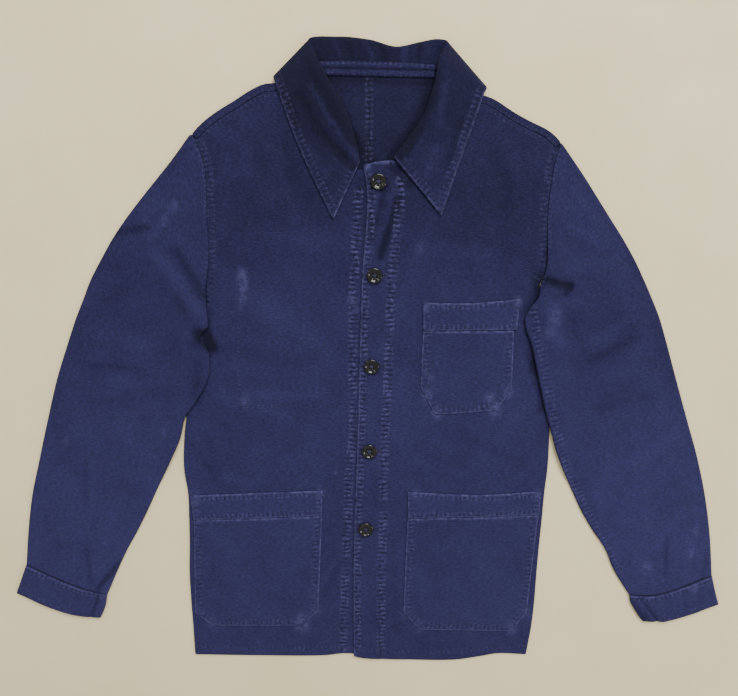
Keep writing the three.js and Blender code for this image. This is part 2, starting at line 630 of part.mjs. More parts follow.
function addSleeve(name, outer, innerEdge, spread, armhole, side, armpitY, folds, bow) {
  const rows = spread.map(([s, oy, iy]) => ({ s, oy, iy }));
  const seam = moved(armhole, -side * SLEEVE_SET);
  const rings = ringStops.map((s) => {
    const oy = readColumn(rows, 's', 'oy', s);
    const iy = readColumn(rows, 's', 'iy', s);
    return { s, oy, iy, ox: readLine(outer, oy), ix: readLine(innerEdge, iy) };
  });
  const first = rings[0];
  const place = (ring, u) => {
    const held = (1 - ease(0, 0.22, ring.s));
    const [ax, ay] = alongLine(seam, u);
    const bx = mix(seam[0][0], seam[seam.length - 1][0], u);
    const by = mix(seam[0][1], seam[seam.length - 1][1], u);
    const x = mix(ring.ox, ring.ix, u) + (ax - bx) * held;
    const y = mix(ring.oy, ring.iy, u) + (ay - by) * held;
    return [x, y - ease(0.82, 1, ring.s) * bow(u)];
  };
  [first.ox, first.oy] = seam[0];
  [first.ix, first.iy] = seam[seam.length - 1];
  const low = (x, y) => armpitFloor(x, y, armpitY);
  const full = (ring) => 2 * SLEEVE_CLOTH + 0.8
    + (SLEEVE_AIR - 0.8) * ease(0, 0.12, ring.s) * (1 - 0.5 * ease(0.9, 1, ring.s));
  addSolid(name, flatTube(rings, place, low, full, SLEEVE_CLOTH, folds), BLUE, 0.9);
}

addSleeve('sleeve_right', rightOuter, rightInner, rightRings, armholeRightLine, 1, 54,
  rightSleeveFolds, (u) => RIGHT_CUFF_BOW * rightCuffShape(u));
addSleeve('sleeve_left', leftOuter, leftInner, leftRings, armholeLeftLine, -1, 78,
  leftSleeveFolds, (u) => LEFT_CUFF_BOW * leftCuffShape(u));

// Cuffs, a row per ring: both ends, and how far it bows
function addCuff(name, rows, shape) {
  const place = (ring, u) => {
    const x = mix(ring.ox, ring.ix, u);
    const y = mix(ring.oy, ring.iy, u);
    return [x, y - ring.bow * shape(u)];
  };
  const full = () => 2 * CUFF_CLOTH + CUFF_AIR;
  addSolid(name, flatTube(rows, place, () => 0, full, CUFF_CLOTH, []), BLUE, 0.9);
}

addCuff('cuff_right', [
  { ox: -446.1, oy: -288.5, ix: -343.7, iy: -331.5, bow: RIGHT_CUFF_BOW },
  { ox: -450.5, oy: -299, ix: -345, iy: -338, bow: 4.6 },
  { ox: -454.5, oy: -309, ix: -346.5, iy: -345, bow: 5.4 },
  { ox: -458.5, oy: -318.5, ix: -349.5, iy: -353.5, bow: 6.2 },
  { ox: -462.5, oy: -328, ix: -354.5, iy: -364, bow: 7.2 },
], rightCuffShape);
addCuff('cuff_left', [
  { ox: 448.1, oy: -304.5, ix: 341.7, iy: -331.5, bow: LEFT_CUFF_BOW },
  { ox: 451, oy: -315, ix: 343.5, iy: -340.5, bow: 9 },
  { ox: 454, oy: -325, ix: 348, iy: -349.5, bow: 9 },
  { ox: 457, oy: -335, ix: 354, iy: -359, bow: 8.5 },
  { ox: 460.3, oy: -344.5, ix: 361, iy: -369, bow: 7 },
], leftCuffShape);

// Collar

const leafStops = [0, 0.12, 0.3, 0.5, 0.7, 0.87];
const rollAngles = [90, 45, 0, -45, -90].map((d) => d * Math.PI / 180);
const standStops = [0.4, 0.72, 1];
const ROLL_DEPTH = 2.6;
const TURN_DROP = 1.2;

function collarSection(k) {
  const get = (column) => readCollar(column, k);
  const over = get('over');
  const fold = [get('fx'), get('fy')];
  const leaf = [get('lx'), get('ly')];
  const seam = [get('sx'), get('sy')];
  const rise = get('fz');
  const half = mix(1.8, 2.1, ease(0, 6, Math.min(k, LAST_ROW - k)));
  const unit = (to) => {
    const length = Math.hypot(to[0] - fold[0], to[1] - fold[1]);
    return [(to[0] - fold[0]) / length, (to[1] - fold[1]) / length];
  };
  const leafWay = unit(leaf);
  const seamWay = unit(seam);
  const cloth = k < LAST_ROW / 2 ? frontTop : topTop;
  const under = k < LAST_ROW / 2 ? frontBottom : topBottom;
  const resting = (x, y) => netHeight(cloth, x, y) + LEAF_RISE;
  const leafEnd = over > 0
    ? mix(TURN_HEIGHT, resting(leaf[0], leaf[1]), ease(0, 0.8, over))
    : mix(TURN_HEIGHT, COLLAR_CLOTH / 2, -over);
  const seamEnd = over > 0
    ? mix(TURN_HEIGHT, netHeight(under, seam[0], seam[1]) + CLOTH / 2 + SEAM_GAP, over)
    : mix(TURN_HEIGHT, UNDER_LEAF + CLOTH, -over);
  const drop = (1 - Math.abs(over)) * TURN_DROP;
  const rollLeaf = rise + over * half - drop;
  const rollStand = rise - over * half - drop;
  const points = [];
  const leafRoot = [fold[0] + leafWay[0] * ROLL_DEPTH, fold[1] + leafWay[1] * ROLL_DEPTH];
  const seamRoot = [fold[0] + seamWay[0] * ROLL_DEPTH, fold[1] + seamWay[1] * ROLL_DEPTH];
  for (const t of leafStops) {
    const x = mix(leaf[0], leafRoot[0], t);
    const y = mix(leaf[1], leafRoot[1], t);
    let z = mix(leafEnd, rollLeaf, over < -0.4 ? t ** 3 : t ** 1.4);
    if (over > 0.55) {
      z = Math.max(z, resting(x, y));
    }
    points.push([x, y, z]);
  }
  for (const angle of rollAngles) {
    const way = angle > 0 ? leafWay : seamWay;
    const out = ROLL_DEPTH * (1 - Math.cos(angle));
    points.push([fold[0] + way[0] * out, fold[1] + way[1] * out,
      rise + over * half * Math.sin(angle) - drop * (1 - Math.cos(angle))]);
  }
  for (const t of standStops) {
    points.push([mix(seamRoot[0], seam[0], t), mix(seamRoot[1], seam[1], t),
      mix(rollStand, seamEnd, t)]);
  }
  return points;
}

function thicken(rows, thickness) {
  const n = rows.length;
  const m = rows[0].length;
  const normals = rows.map((row) => row.map(() => new THREE.Vector3()));
  const vec = (r, c) => new THREE.Vector3(...rows[r][c]);
  for (let r = 0; r < n - 1; r += 1) {
    for (let c = 0; c < m - 1; c += 1) {
      const a = vec(r, c);
      const face = vec(r + 1, c + 1).sub(a).cross(vec(r, c + 1).sub(vec(r + 1, c)));
      face.normalize();
      for (const [i, j] of [[r, c], [r + 1, c], [r, c + 1], [r + 1, c + 1]]) {
        normals[i][j].add(face);
      }
    }
  }
  const points = [];
  for (const side of [1, -1]) {
    for (let r = 0; r < n; r += 1) {
      for (let c = 0; c < m; c += 1) {
        const p = vec(r, c).addScaledVector(normals[r][c].normalize(), side * thickness / 2);
        points.push([p.x, p.y, p.z]);
      }
    }
  }
  const id = (side, r, c) => (side * n + r) * m + c;
  const triangles = [];
  const quad = (a, b, c, d) => {
    triangles.push([a, b, c]);
    triangles.push([a, c, d]);
  };
  for (let r = 0; r < n - 1; r += 1) {
    for (let c = 0; c < m - 1; c += 1) {
      quad(id(0, r, c), id(0, r + 1, c), id(0, r + 1, c + 1), id(0, r, c + 1));
      quad(id(1, r, c), id(1, r, c + 1), id(1, r + 1, c + 1), id(1, r + 1, c));
    }
    quad(id(0, r, 0), id(1, r, 0), id(1, r + 1, 0), id(0, r + 1, 0));
    quad(id(0, r, m - 1), id(0, r + 1, m - 1), id(1, r + 1, m - 1), id(1, r, m - 1));
  }
  for (let c = 0; c < m - 1; c += 1) {
    quad(id(0, 0, c), id(0, 0, c + 1), id(1, 0, c + 1), id(1, 0, c));
    quad(id(0, n - 1, c), id(1, n - 1, c), id(1, n - 1, c + 1), id(0, n - 1, c + 1));
  }
  let solid = solidFrom(points, triangles);
  if (solid.volume() < 0) {
    solid = solidFrom(points, triangles.map(([a, b, c]) => [a, c, b]));
  }
  return solid;
}

const collarStops = [];
for (let k = 0; k < LAST_ROW; k += 1) {
  const turning = (k === 5 || k === 6 || k === 12 || k === 13);
  const steps = turning ? 4 : 2;
  for (let i = 0; i < steps; i += 1) {
    collarStops.push(k + i / steps);
  }
}
collarStops.push(LAST_ROW);
addSolid('collar', thicken(collarStops.map(collarSection), COLLAR_CLOTH), BLUE, 0.9);

// The strip over the back neck seam, on the inside of the back
const stripOutline = [[-57, 330], [-30, 331], [0, 331], [35, 329.5], [74, 326.5],
  [74, 312.5], [35, 313.5], [0, 314.5], [-30, 315], [-57, 315]];
function neckStrip() {
  const points = [];
  const triangles = [];
  const across = 12;
  const rows = [0, 0.25, 0.5, 0.75, 1];
  const height = (x, y, side) => netHeight(backTop, x, y) + 0.45
    + 1.2 * ease(315, 323, y) + 0.7 * ease(323, 331, y) + side * 0.9;
  for (const side of [0, 1]) {
    for (const t of rows) {
      for (let i = 0; i <= across; i += 1) {
        const u = i / across;
        const [tx, ty] = alongLine(stripOutline.slice(0, 5), u);
        const [bx, by] = alongLine(reversed(stripOutline.slice(5)), u);
        const x = mix(bx, tx, t);
        const y = mix(by, ty, t);
        points.push([x, y, height(x, y, side)]);
      }
    }
  }
  const id = (side, r, i) => (side * rows.length + r) * (across + 1) + i;
  const quad = (a, b, c, d) => {
    triangles.push([a, b, c]);
    triangles.push([a, c, d]);
  };
  const top = rows.length - 1;
  for (let i = 0; i < across; i += 1) {
    for (let r = 0; r < top; r += 1) {
      quad(id(1, r, i), id(1, r, i + 1), id(1, r + 1, i + 1), id(1, r + 1, i));
      quad(id(0, r, i), id(0, r + 1, i), id(0, r + 1, i + 1), id(0, r, i + 1));
    }
    quad(id(0, 0, i), id(0, 0, i + 1), id(1, 0, i + 1), id(1, 0, i));
    quad(id(0, top, i + 1), id(0, top, i), id(1, top, i), id(1, top, i + 1));
  }
  for (let r = 0; r < top; r += 1) {
    quad(id(0, r + 1, 0), id(0, r, 0), id(1, r, 0), id(1, r + 1, 0));
    quad(id(0, r, across), id(0, r + 1, across), id(1, r + 1, across), id(1, r, across));
  }
  return solidFrom(points, triangles);
}

addSolid('neck_strip', neckStrip(), BLUE, 0.9);

// Buttons: dished discs with a raised rim and four holes

const buttonPlaces = [[11, 198], [6.5, 89], [3, -22], [0.5, -131.5], [-4, -236.5]];
const buttonProfile = [[0, 0], [7.2, 0], [9, 0.9], [BUTTON_RADIUS, 2.0], [8.8, 3.0],
  [7.8, BUTTON_HEIGHT], [6.6, 2.7], [5.4, 2.0], [0, 1.9]];

function revolve(profile, facets) {
  const points = [[0, 0, profile[0][1]]];
  const triangles = [];
  const rings = profile.slice(1, -1);
  for (const [r, z] of rings) {
    for (let i = 0; i < facets; i += 1) {
      const a = i / facets * 2 * Math.PI;
      points.push([r * Math.cos(a), r * Math.sin(a), z]);
    }
  }
  points.push([0, 0, profile[profile.length - 1][1]]);
  const last = points.length - 1;
  const id = (r, i) => 1 + r * facets + i % facets;
  for (let i = 0; i < facets; i += 1) {
    triangles.push([0, id(0, i + 1), id(0, i)]);
    for (let r = 0; r < rings.length - 1; r += 1) {
      triangles.push([id(r, i), id(r, i + 1), id(r + 1, i + 1)]);
      triangles.push([id(r, i), id(r + 1, i + 1), id(r + 1, i)]);
    }
    triangles.push([last, id(rings.length - 1, i), id(rings.length - 1, i + 1)]);
  }
  return solidFrom(points, triangles);
}

let button = revolve(buttonProfile, BUTTON_FACETS);
for (const [x, y] of [[1, 1], [1, -1], [-1, 1], [-1, -1]]) {
  const hole = Array.from({ length: 8 }, (_, i) => [
    x * HOLE_PLACE + BUTTON_HOLE * Math.cos(i * Math.PI / 4),
    y * HOLE_PLACE + BUTTON_HOLE * Math.sin(i * Math.PI / 4)]);
  button = button.subtract(prism(hole, -1, 6));
}
buttonPlaces.forEach(([x, y], i) => {
  let z = 0;
  for (let a = 0; a < 12; a += 1) {
    z = Math.max(z, netHeight(topTop, x + BUTTON_RADIUS * Math.cos(a * Math.PI / 6),
      y + BUTTON_RADIUS * Math.sin(a * Math.PI / 6)));
  }
  addSolid(`button_${i + 1}`, button.translate([x, y, z + GAP]), HORN, 0.35);
});

// The frame sits in the middle of the underside of the whole jacket.
const box = new THREE.Box3().setFromObject(group);
const middle = box.getCenter(new THREE.Vector3());
for (const mesh of group.children) {
  mesh.geometry.translate(-middle.x, -middle.y, -box.min.z);
}

export default group;
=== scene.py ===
"""A cotton work jacket, buttoned and lying on its back on a pale floor."""

import math

import bpy
import numpy as np
from mathutils.geometry import delaunay_2d_cdt
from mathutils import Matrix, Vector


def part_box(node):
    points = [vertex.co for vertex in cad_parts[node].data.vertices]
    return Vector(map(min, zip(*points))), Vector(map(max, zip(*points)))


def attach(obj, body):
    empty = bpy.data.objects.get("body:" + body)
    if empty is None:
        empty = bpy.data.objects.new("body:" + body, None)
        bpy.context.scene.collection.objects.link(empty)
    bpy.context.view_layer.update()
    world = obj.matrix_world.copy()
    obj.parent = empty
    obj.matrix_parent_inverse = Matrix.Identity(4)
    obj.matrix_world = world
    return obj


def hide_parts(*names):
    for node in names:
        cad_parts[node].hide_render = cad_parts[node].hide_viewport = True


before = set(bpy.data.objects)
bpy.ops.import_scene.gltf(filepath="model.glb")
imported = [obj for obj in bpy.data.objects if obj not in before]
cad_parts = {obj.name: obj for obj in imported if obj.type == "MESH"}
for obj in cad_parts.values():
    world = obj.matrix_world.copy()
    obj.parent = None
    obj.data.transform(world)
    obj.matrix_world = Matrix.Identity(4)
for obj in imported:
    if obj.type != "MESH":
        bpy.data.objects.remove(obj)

bl_info = {
    "name": "Work Jacket",
    "version": (1, 0, 0),
    "blender": (4, 5, 0),
    "location": "View3D > Sidebar > Jacket",
    "description": "Makes a buttoned cotton work jacket laid flat, with its sewing and wear",
    "category": "Object",
}

# Sizes below are in millimetres of the cut, and become metres when a mesh is made.
MM = 0.001
# Thickness of each cloth, and what the placket adds to the top front
CLOTH = 1.2
SLEEVE_CLOTH = 1.6
CUFF_CLOTH = 2.2
COLLAR_CLOTH = 2.0
BAND_CLOTH = 2.0
POCKET_CLOTH = 1.0
STRIP_CLOTH = 0.9
PLACKET_EXTRA = 0.8
PLACKET_WIDTH = 36.0
# How the pieces lie on each other
FRONT_OVERLAP = 30.0
GAP = 0.35
BACK_GAP = 0.02
FRONT_LOFT = 2.3
SHOULDER_STRIP = 8.5
SLEEVE_AIR = 2.4
CUFF_AIR = 2.0
ARMPIT_LIFT = 4.3
NECK_SET = 1.4
SLEEVE_SET = -0.3
SPREAD_EDGE = 23.2
BACK_HEM = -415.0
# The collar's leaf over and under the body, and the roll between leaf and stand
LEAF_RISE = 2.25
UNDER_LEAF = 2.5
TURN_HEIGHT = 4.9
ROLL_DEPTH = 8.0
ROLL_RISE = 3.6
STAND_ROLL = 2.6
LEAF_STEPS = 34
ROLL_STEPS = 15
STAND_STEPS = 11
# The level the turned hem is measured from, the stitches, a seam's reach, and the buttons
HEM_LEVEL = -421
STITCH_PITCH = 3.3
SEAM_REACH = 17.0
BUTTON_RADIUS = 9.4
BUTTON_HOLE = 1.9
BUTTON_TURNS = 72
STRAND_RADIUS = 0.27
# The stage, in metres and degrees, with the sensor in millimetres and the photo in pixels
FLOOR_HALF = 6.0
FLOOR_LEVEL = -0.0004
CAMERA_TILT = 12.0
CAMERA_DISTANCE = 0.915
CAMERA_AIM = 0.004
SENSOR_WIDTH = 36.0
PHOTO_WIDTH = 738.0
LENS_PIXELS = 750.0
CAMERA_LENS = SENSOR_WIDTH * LENS_PIXELS / PHOTO_WIDTH
ROOM_LIGHT = 0.55
# Each lamp's place, width, power and colour
LAMPS = {
    "sky_panel": ((0.5, 1.7, 1.9), 1.2, 62, (1.0, 0.98, 0.95)),
    "window_side": ((1.9, -0.5, 1.5), 0.5, 12, (0.96, 0.98, 1.0)),
    "left_lamp": ((-1.1, 0.9, 2.0), 0.35, 6, (1.0, 0.98, 0.95)),
}

# Outlines of the body as it lies
SHOULDER_RIGHT = [(-73, 311.5), (-106, 307.5), (-120, 306), (-135, 299.5), (-154, 288.5),
                  (-173, 277.5), (-189, 266.5), (-201, 255.5), (-204.5, 251)]
ARMHOLE_RIGHT = [(-204.5, 251), (-200, 243), (-195.5, 230), (-191.5, 213), (-190.5, 187),
                 (-191.5, 156), (-191, 123), (-191.5, 104), (-196.5, 73), (-201, 54)]
SIDE_RIGHT = [(-201, 54), (-210, 10), (-219, -40), (-227, -85), (-231.5, -114),
              (-234, -157), (-230.5, -190), (-231, -225), (-232, -260), (-234, -295),
              (-234, -338), (-233, -380), (-232.5, -419.5)]
SHOULDER_LEFT = [(101, 308), (126, 295), (136, 292.5), (145, 288.5), (163, 277.5),
                 (184, 266.5), (207, 255.5), (219, 245.5), (222, 241.5)]
ARMHOLE_LEFT = [(222, 241.5), (219, 230), (215.5, 214), (212.5, 188), (211, 162),
                (212, 126), (212, 100), (209, 87), (205, 78)]
SIDE_LEFT = [(205, 78), (211, 40), (216, 0), (220.5, -40), (224, -80), (226, -114),
             (226, -155), (223.5, -190), (222, -226), (220, -267), (218.5, -310),
             (217.5, -345), (215, -380), (210, -419.5)]
HEM_RIGHT = [(-232.5, -419.5), (-150, -421), (-60, -421), (-33, -418), (10, -421)]
HEM_LEFT = [(-20.5, -421), (-8, -424), (30, -426), (60, -427.5), (115, -427.5),
            (150, -422), (172, -418), (210, -419.5)]
FRONT_EDGE = [(-7, 217), (-3, 192), (-2.5, 165), (-5, 130), (-8, 95), (-10, 40),
              (-12, -20), (-13.5, -75), (-15, -130), (-17, -185), (-19.5, -257),
              (-20.5, -340), (-20.5, -421)]
FLOOR_LEAF = [(-108, 313), (-101, 305), (-62, 290), (-10, 284), (30, 282), (72, 283),
              (124, 291), (132, 300), (87, 350), (0, 353), (-66, 353)]
INSIDE_POCKET = [(-157, 92), (-30, 94), (-24, -73), (-156, -75)]
STRIP_TOP = [(-57, 330), (-30, 331), (0, 331), (35, 329.5), (74, 326.5)]
STRIP_FOOT = [(-57, 315), (-30, 315), (0, 314.5), (35, 313.5), (74, 312.5)]

# The collar, a row per section from the right front's tip round the neck to the left's:
# where it rolls over (x, y, z), its free edge (x, y), its seam (x, y), and whether the
# leaf lies on top (1), under the back (-1) or turns over the shoulder (0)
COLLAR = [
    (-11, 219, 6.0, -42, 154, -15, 213, 1), (-15, 238, 6.6, -58, 187, -26, 229, 1),
    (-21, 260, 7.6, -74, 221, -37, 251, 1), (-30, 283, 9.0, -88, 255, -50, 273, 1),
    (-43, 305, 10.4, -98, 283, -63, 291, 1), (-56, 327, 11.4, -105.5, 305.5, -71, 303, 1),
    (-66, 353, 9.4, -108.5, 313.5, -71, 314, 0), (-51, 356, 5.2, -102, 309.5, -56, 323, -1),
    (-30, 356, 3.6, -62, 290, -34, 326, -1), (0, 353, 3.4, -10, 284, 0, 326.5, -1),
    (31, 345.5, 3.4, 30, 282, 31, 324.5, -1), (56, 350, 3.7, 72, 283, 58, 323, -1),
    (75, 353, 5.6, 126, 297.5, 84, 320, -1), (87, 350, 10.2, 134, 301.5, 99, 313, 0),
    (79, 331, 12.4, 131, 296.5, 100, 303, 1), (76, 313, 12.4, 124, 275, 97, 291, 1),
    (71, 294, 11.6, 117, 255, 91, 276, 1), (64, 274, 10.6, 110, 234, 81, 260, 1),
    (53, 256, 9.8, 102, 211, 67, 244, 1), (40, 239, 9.2, 94, 186, 50, 231, 1),
    (29, 225, 8.8, 85, 159, 34, 221, 1),
]

# Sleeve edges (y, x) and how the rings between them are spread (s, outer y, inner y)
RIGHT_OUTER = [(251.5, -206.5), (223, -229), (200, -249), (177, -269), (154, -288),
               (131, -305), (107, -320), (83, -334), (59, -345), (35, -356), (10, -366),
               (-40, -385), (-92, -401), (-144, -416), (-198, -431), (-253, -441),
               (-288.5, -446)]
RIGHT_INNER = [(54, -201.5), (40, -195), (28, -195), (14, -205), (2, -199),
               (-8, -195), (-26, -195), (-48, -202),
               (-67, -213.5), (-90, -229), (-113, -235), (-144, -249), (-185, -270),
               (-212, -283), (-239, -297), (-267, -313), (-295, -327), (-331, -343.5)]
LEFT_OUTER = [(242, 222.6), (223, 237), (200, 254), (177, 270), (154, 286), (131, 302),
              (107, 317), (83, 330), (59, 342), (35, 353), (10, 362), (-40, 379),
              (-92, 397), (-144, 415), (-198, 430), (-253, 441), (-304.5, 448)]
LEFT_INNER = [(78, 205.5), (60, 202.5), (48, 193), (36, 188), (22, 190.5), (4, 197.5),
              (-38, 208), (-74, 217), (-109, 227.5), (-131, 234), (-158, 245),
              (-185, 258), (-212, 271), (-239, 287), (-267, 306), (-295, 318.5),
              (-331.5, 341.5)]
RIGHT_SPREAD = [(0, 251, 54), (.1, 204, 38), (.2, 152, 12), (.3, 95, -22), (.4, 38, -60),
                (.5, -20, -102), (.6, -76, -146), (.7, -132, -192), (.8, -186, -239),
                (.9, -239, -286), (1, -288, -331)]
LEFT_SPREAD = [(0, 241.5, 78), (.1, 196, 56), (.2, 146, 26), (.3, 90, -10), (.4, 33, -50),
               (.5, -25, -94), (.6, -82, -140), (.7, -139, -187), (.8, -195, -236),
               (.9, -250, -285), (1, -304, -331)]
# Cuffs: outer end, inner end and bow of each ring
RIGHT_CUFF = [(-446.1, -288.5, -343.7, -331.5, 4), (-450.5, -299, -345, -338, 4.6),
              (-454.5, -309, -346.5, -345, 5.4), (-458.5, -318.5, -349.5, -353.5, 6.2),
              (-462.5, -328, -354.5, -364, 7.2)]
LEFT_CUFF = [(448.1, -304.5, 341.7, -331.5, 8.5), (451, -315, 343.5, -340.5, 9),
             (454, -325, 348, -349.5, 9), (457, -335, 354, -359, 8.5),
             (460.3, -344.5, 361, -369, 7)]

# Patch pockets and their bands
CHEST_BAG = [(65.5, 21), (64, -20), (63, -49), (81.5, -84), (120, -82), (158, -79),
             (176.5, -53), (176.5, -20), (176, 21.5)]
CHEST_BAND = [(65, 56.5), (90, 55.5), (125, 55.5), (160, 58), (182.5, 60.5),
              (179.5, 22.2), (120, 22), (65.5, 21.4)]
LEFT_BAG = [(49, -223), (45, -355), (67, -381), (188, -384), (208, -357), (217, -219)]
LEFT_BAND = [(49, -186), (90, -188.5), (135, -190.5), (180, -188.5), (219, -186),
             (218, -218.6), (135, -220.5), (50, -222.6)]
RIGHT_BAG = [(-225, -226), (-229.5, -357), (-208, -375.5), (-88, -375), (-66.5, -353),
             (-60, -219)]
RIGHT_BAND = [(-228, -192), (-145, -187.5), (-59, -184.5), (-60, -218.6),
              (-225, -225.6)]
BUTTONS = [(11, 198), (6.5, 89), (3, -22), (0.5, -131.5), (-4, -236.5)]

# Soft folds: two ends, half width, height (below nought for a trough)
FRONT_FOLDS = [
    (-178, 88, -120, 30, 26, .9), (-140, 200, -95, 150, 28, .8),
    (-215, -120, -120, -150, 24, .7), (185, 30, 196, -120, 26, .9),
    (150, 190, 110, 120, 28, .8), (205, -140, 120, -120, 24, .7),
    (20, -300, 30, -400, 24, .6),
]
FRONT_CREASES = [
    (19, 192, 16, 171, 9, -1.5), (16, 171, 11, 152, 10, -1.7), (11, 152, 3, 128, 9, -1.3),
    (8, 190, 6, 150, 6, .9), (26, 188, 22, 148, 8, .6),
    (-27, 90, -9, 90, 4, -.9), (-24, 59, 0, 59, 5, .5), (-22, 75, -6, 74, 5, .4),
    (34, 104, 20, 96, 5, -.8), (32, 88, 16, 84, 6, .4), (12, 60, 16, 15, 8, -.5),
    (60, 120, 150, 112, 16, .5), (-120, 140, -60, 128, 18, .5),
    (-180, 0, -90, -20, 16, -.6), (-200, -60, -100, -90, 14, .6),
    (40, -20, 40, -150, 18, .4), (120, -110, 190, -150, 14, -.6),
    (-205, -165, -150, -176, 9, .7), (60, -150, 120, -165, 12, .5),
    (-50, -240, -44, -330, 10, -.6), (30, -250, 36, -380, 10, -.6),
    (-140, 250, -110, 190, 16, -.6), (140, 240, 170, 170, 16, -.6),
    (-36, -284, -60, -330, 7, -.9), (-44, -280, -67, -324, 6, .6),
    (-224, -122, -198, -168, 8, -.8), (205, -60, 168, -112, 14, .6),
    (8, -52, 12, -104, 8, -.6), (6, -160, 8, -210, 8, -.5), (-150, 60, -80, 20, 20, .5),
    (90, 250, 80, 190, 14, -.6), (-100, 240, -84, 180, 12, -.6),
]
ARMPITS = [((-196, 70), (-226, -100)), ((204, 84), (222, -100))]
RIGHT_SLEEVE_FOLDS = [
    (-262, 152, -222, 180, 22, 1.2), (-236, 84, -204, 48, 20, 1.6),
    (-330, 40, -262, -40, 24, 1.2), (-372, -110, -300, -170, 22, 1.1),
    (-410, -240, -350, -262, 20, 1.0),
]
RIGHT_SLEEVE_CREASES = [
    (-306, 137, -262, 145, 8, -1.2), (-259, 131, -227, 171, 9, 1.3),
    (-254, 113, -200, 36, 15, 1.5), (-228, 114, -198, 64, 10, -1.2),
    (-212, 4, -200, 20, 9, -2.0), (-232, 60, -214, 20, 9, -.8),
    (-345, -22, -285, -26, 8, -.9), (-330, -42, -270, -46, 10, .6),
    (-357, -147, -361, -201, 7, -.8), (-348, -148, -352, -205, 6, .6),
    (-252, -97, -263, -126, 5, .8), (-340, -70, -270, -58, 12, -.5),
    (-300, -120, -262, -150, 10, .6), (-390, -100, -372, -160, 12, -.6),
    (-365, -268, -363, -315, 6, -1.4), (-381, -262, -385, -302, 7, .7),
    (-323, -284, -356, -322, 6, -1.8), (-318, -296, -340, -320, 6, .8),
    (-420, -210, -400, -262, 10, -.6), (-330, -220, -345, -268, 10, .6),
    (-258, 210, -232, 222, 12, -.5), (-300, 60, -262, 100, 14, -.5),
    (-330, 20, -270, 0, 16, .5),
]
LEFT_SLEEVE_FOLDS = [
    (276, 150, 240, 170, 22, 1.1), (250, 48, 206, 50, 18, 1.8),
    (330, 50, 262, -50, 24, 1.2), (232, -70, 312, -268, 14, 1.3),
    (400, -190, 345, -240, 22, 1.0),
]
LEFT_SLEEVE_CREASES = [
    (206, 86, 219, 80, 7, -2.2), (219, 80, 241, 75, 7, -2.6), (241, 75, 236, 66, 6, -1.8),
    (236, 66, 222, 62, 5, -1.2), (252, 96, 236, 92, 9, .8),
    (262, 132, 234, 146, 10, .8), (300, 110, 268, 96, 12, .7),
    (270, -16, 319, 10, 12, -1.3), (276, 10, 316, 34, 12, .8), (246, 30, 262, -6, 10, -.7),
    (330, -30, 270, -40, 14, .7), (350, -60, 280, -80, 12, -.7),
    (380, -110, 330, -150, 14, .7), (400, -210, 372, -262, 9, .7),
    (382, -250, 385, -303, 6, -1.4), (436, -309, 438, -272, 6, -1.1),
    (410, -258, 412, -306, 8, .7), (363, -293, 350, -286, 10, .8),
    (422, -224, 416, -276, 6, .6), (318, -190, 300, -230, 10, -.6),
    (330, 90, 300, 130, 14, -.6), (245, 225, 262, 205, 10, -.5),
]
CUFF_CREASES = [
    (-353, -326, -368, -366, 3.4, -2.2), (-345, -326, -357, -368, 5, .9),
    (-410, -306, -404, -342, 8, -.5), (-430, -300, -436, -326, 7, .5),
    (352, -334, 384, -374, 3.6, -2.4), (362, -334, 392, -372, 6, .8),
    (410, -326, 416, -356, 8, -.5), (436, -316, 444, -344, 7, .5),
]
COLLAR_CREASES = [
    (-79, 294, -59, 256, 9, -1.3), (-59, 256, -30, 225, 9, -1.5), (-30, 225, -10, 208, 8, -1.0),
    (-64, 302, -42, 262, 7, .9), (-42, 262, -14, 228, 7, .9), (-96, 298, -84, 268, 8, -.6),
    (-70, 240, -50, 205, 10, .5), (67, 302, 59, 262, 9, -1.0), (59, 262, 38, 225, 9, -1.2),
    (84, 302, 80, 262, 8, .7), (104, 262, 90, 215, 10, -.6), (76, 236, 66, 205, 9, .6),
    (-40, 352, -32, 334, 6, .7), (-24, 352, -20, 336, 6, -.7), (-4, 350, 4, 334, 7, .6),
    (14, 348, 18, 332, 6, -.7), (40, 346, 38, 332, 7, .7), (58, 348, 56, 334, 6, -.6),
]

# Places painted darker or paler on the cloth: two ends, half width, change of tone
# On the body: mostly painted shade beside the sleeves, at the armhole notch, under the collar and in
# the placket's fold, painted light on that fold's ridge, and a few stretches a little paler or darker
BODY_SHADE_AND_TONE = [
    (34, 178, 14, 112, 8, -.44), (22, 182, 4, 122, 5, .20), (28, 214, 46, 194, 9, -.25),
    (-150, -58, -66, -60, 9, .16), (-202, 24, -190, 0, 12, -.6),
    (206, 84, 204, 40, 17, -.38), (204, 40, 209, -20, 21, -.52), (209, -20, 219, -74, 15, -.46),
    (-196, 60, -197, 0, 9, -.26), (-197, 0, -212, -70, 8, -.24), (-60, 290, -20, 230, 24, -.10),
    (-8, 200, 4, 130, 16, -.10), (60, 290, 70, 170, 26, -.08), (-110, 290, -60, 160, 22, -.08),
    (-200, -120, -196, -170, 14, -.10), (-150, -230, -120, -330, 40, -.08),
]
# Inside the back neck: painted shade beside the collar's rolls
BACK_PAINTED_SHADE = [
    (-60, 330, -53, 305, 16, -.25), (-53, 305, -39, 280, 16, -.25), (-39, 280, -20, 247, 14, -.3),
    (-20, 247, 3, 217, 12, -.3), (74, 311, 69, 289, 14, -.2), (69, 289, 53, 256, 12, -.25),
    (53, 256, 29, 225, 12, -.25), (-50, 312, 70, 308, 8, -.2),
]
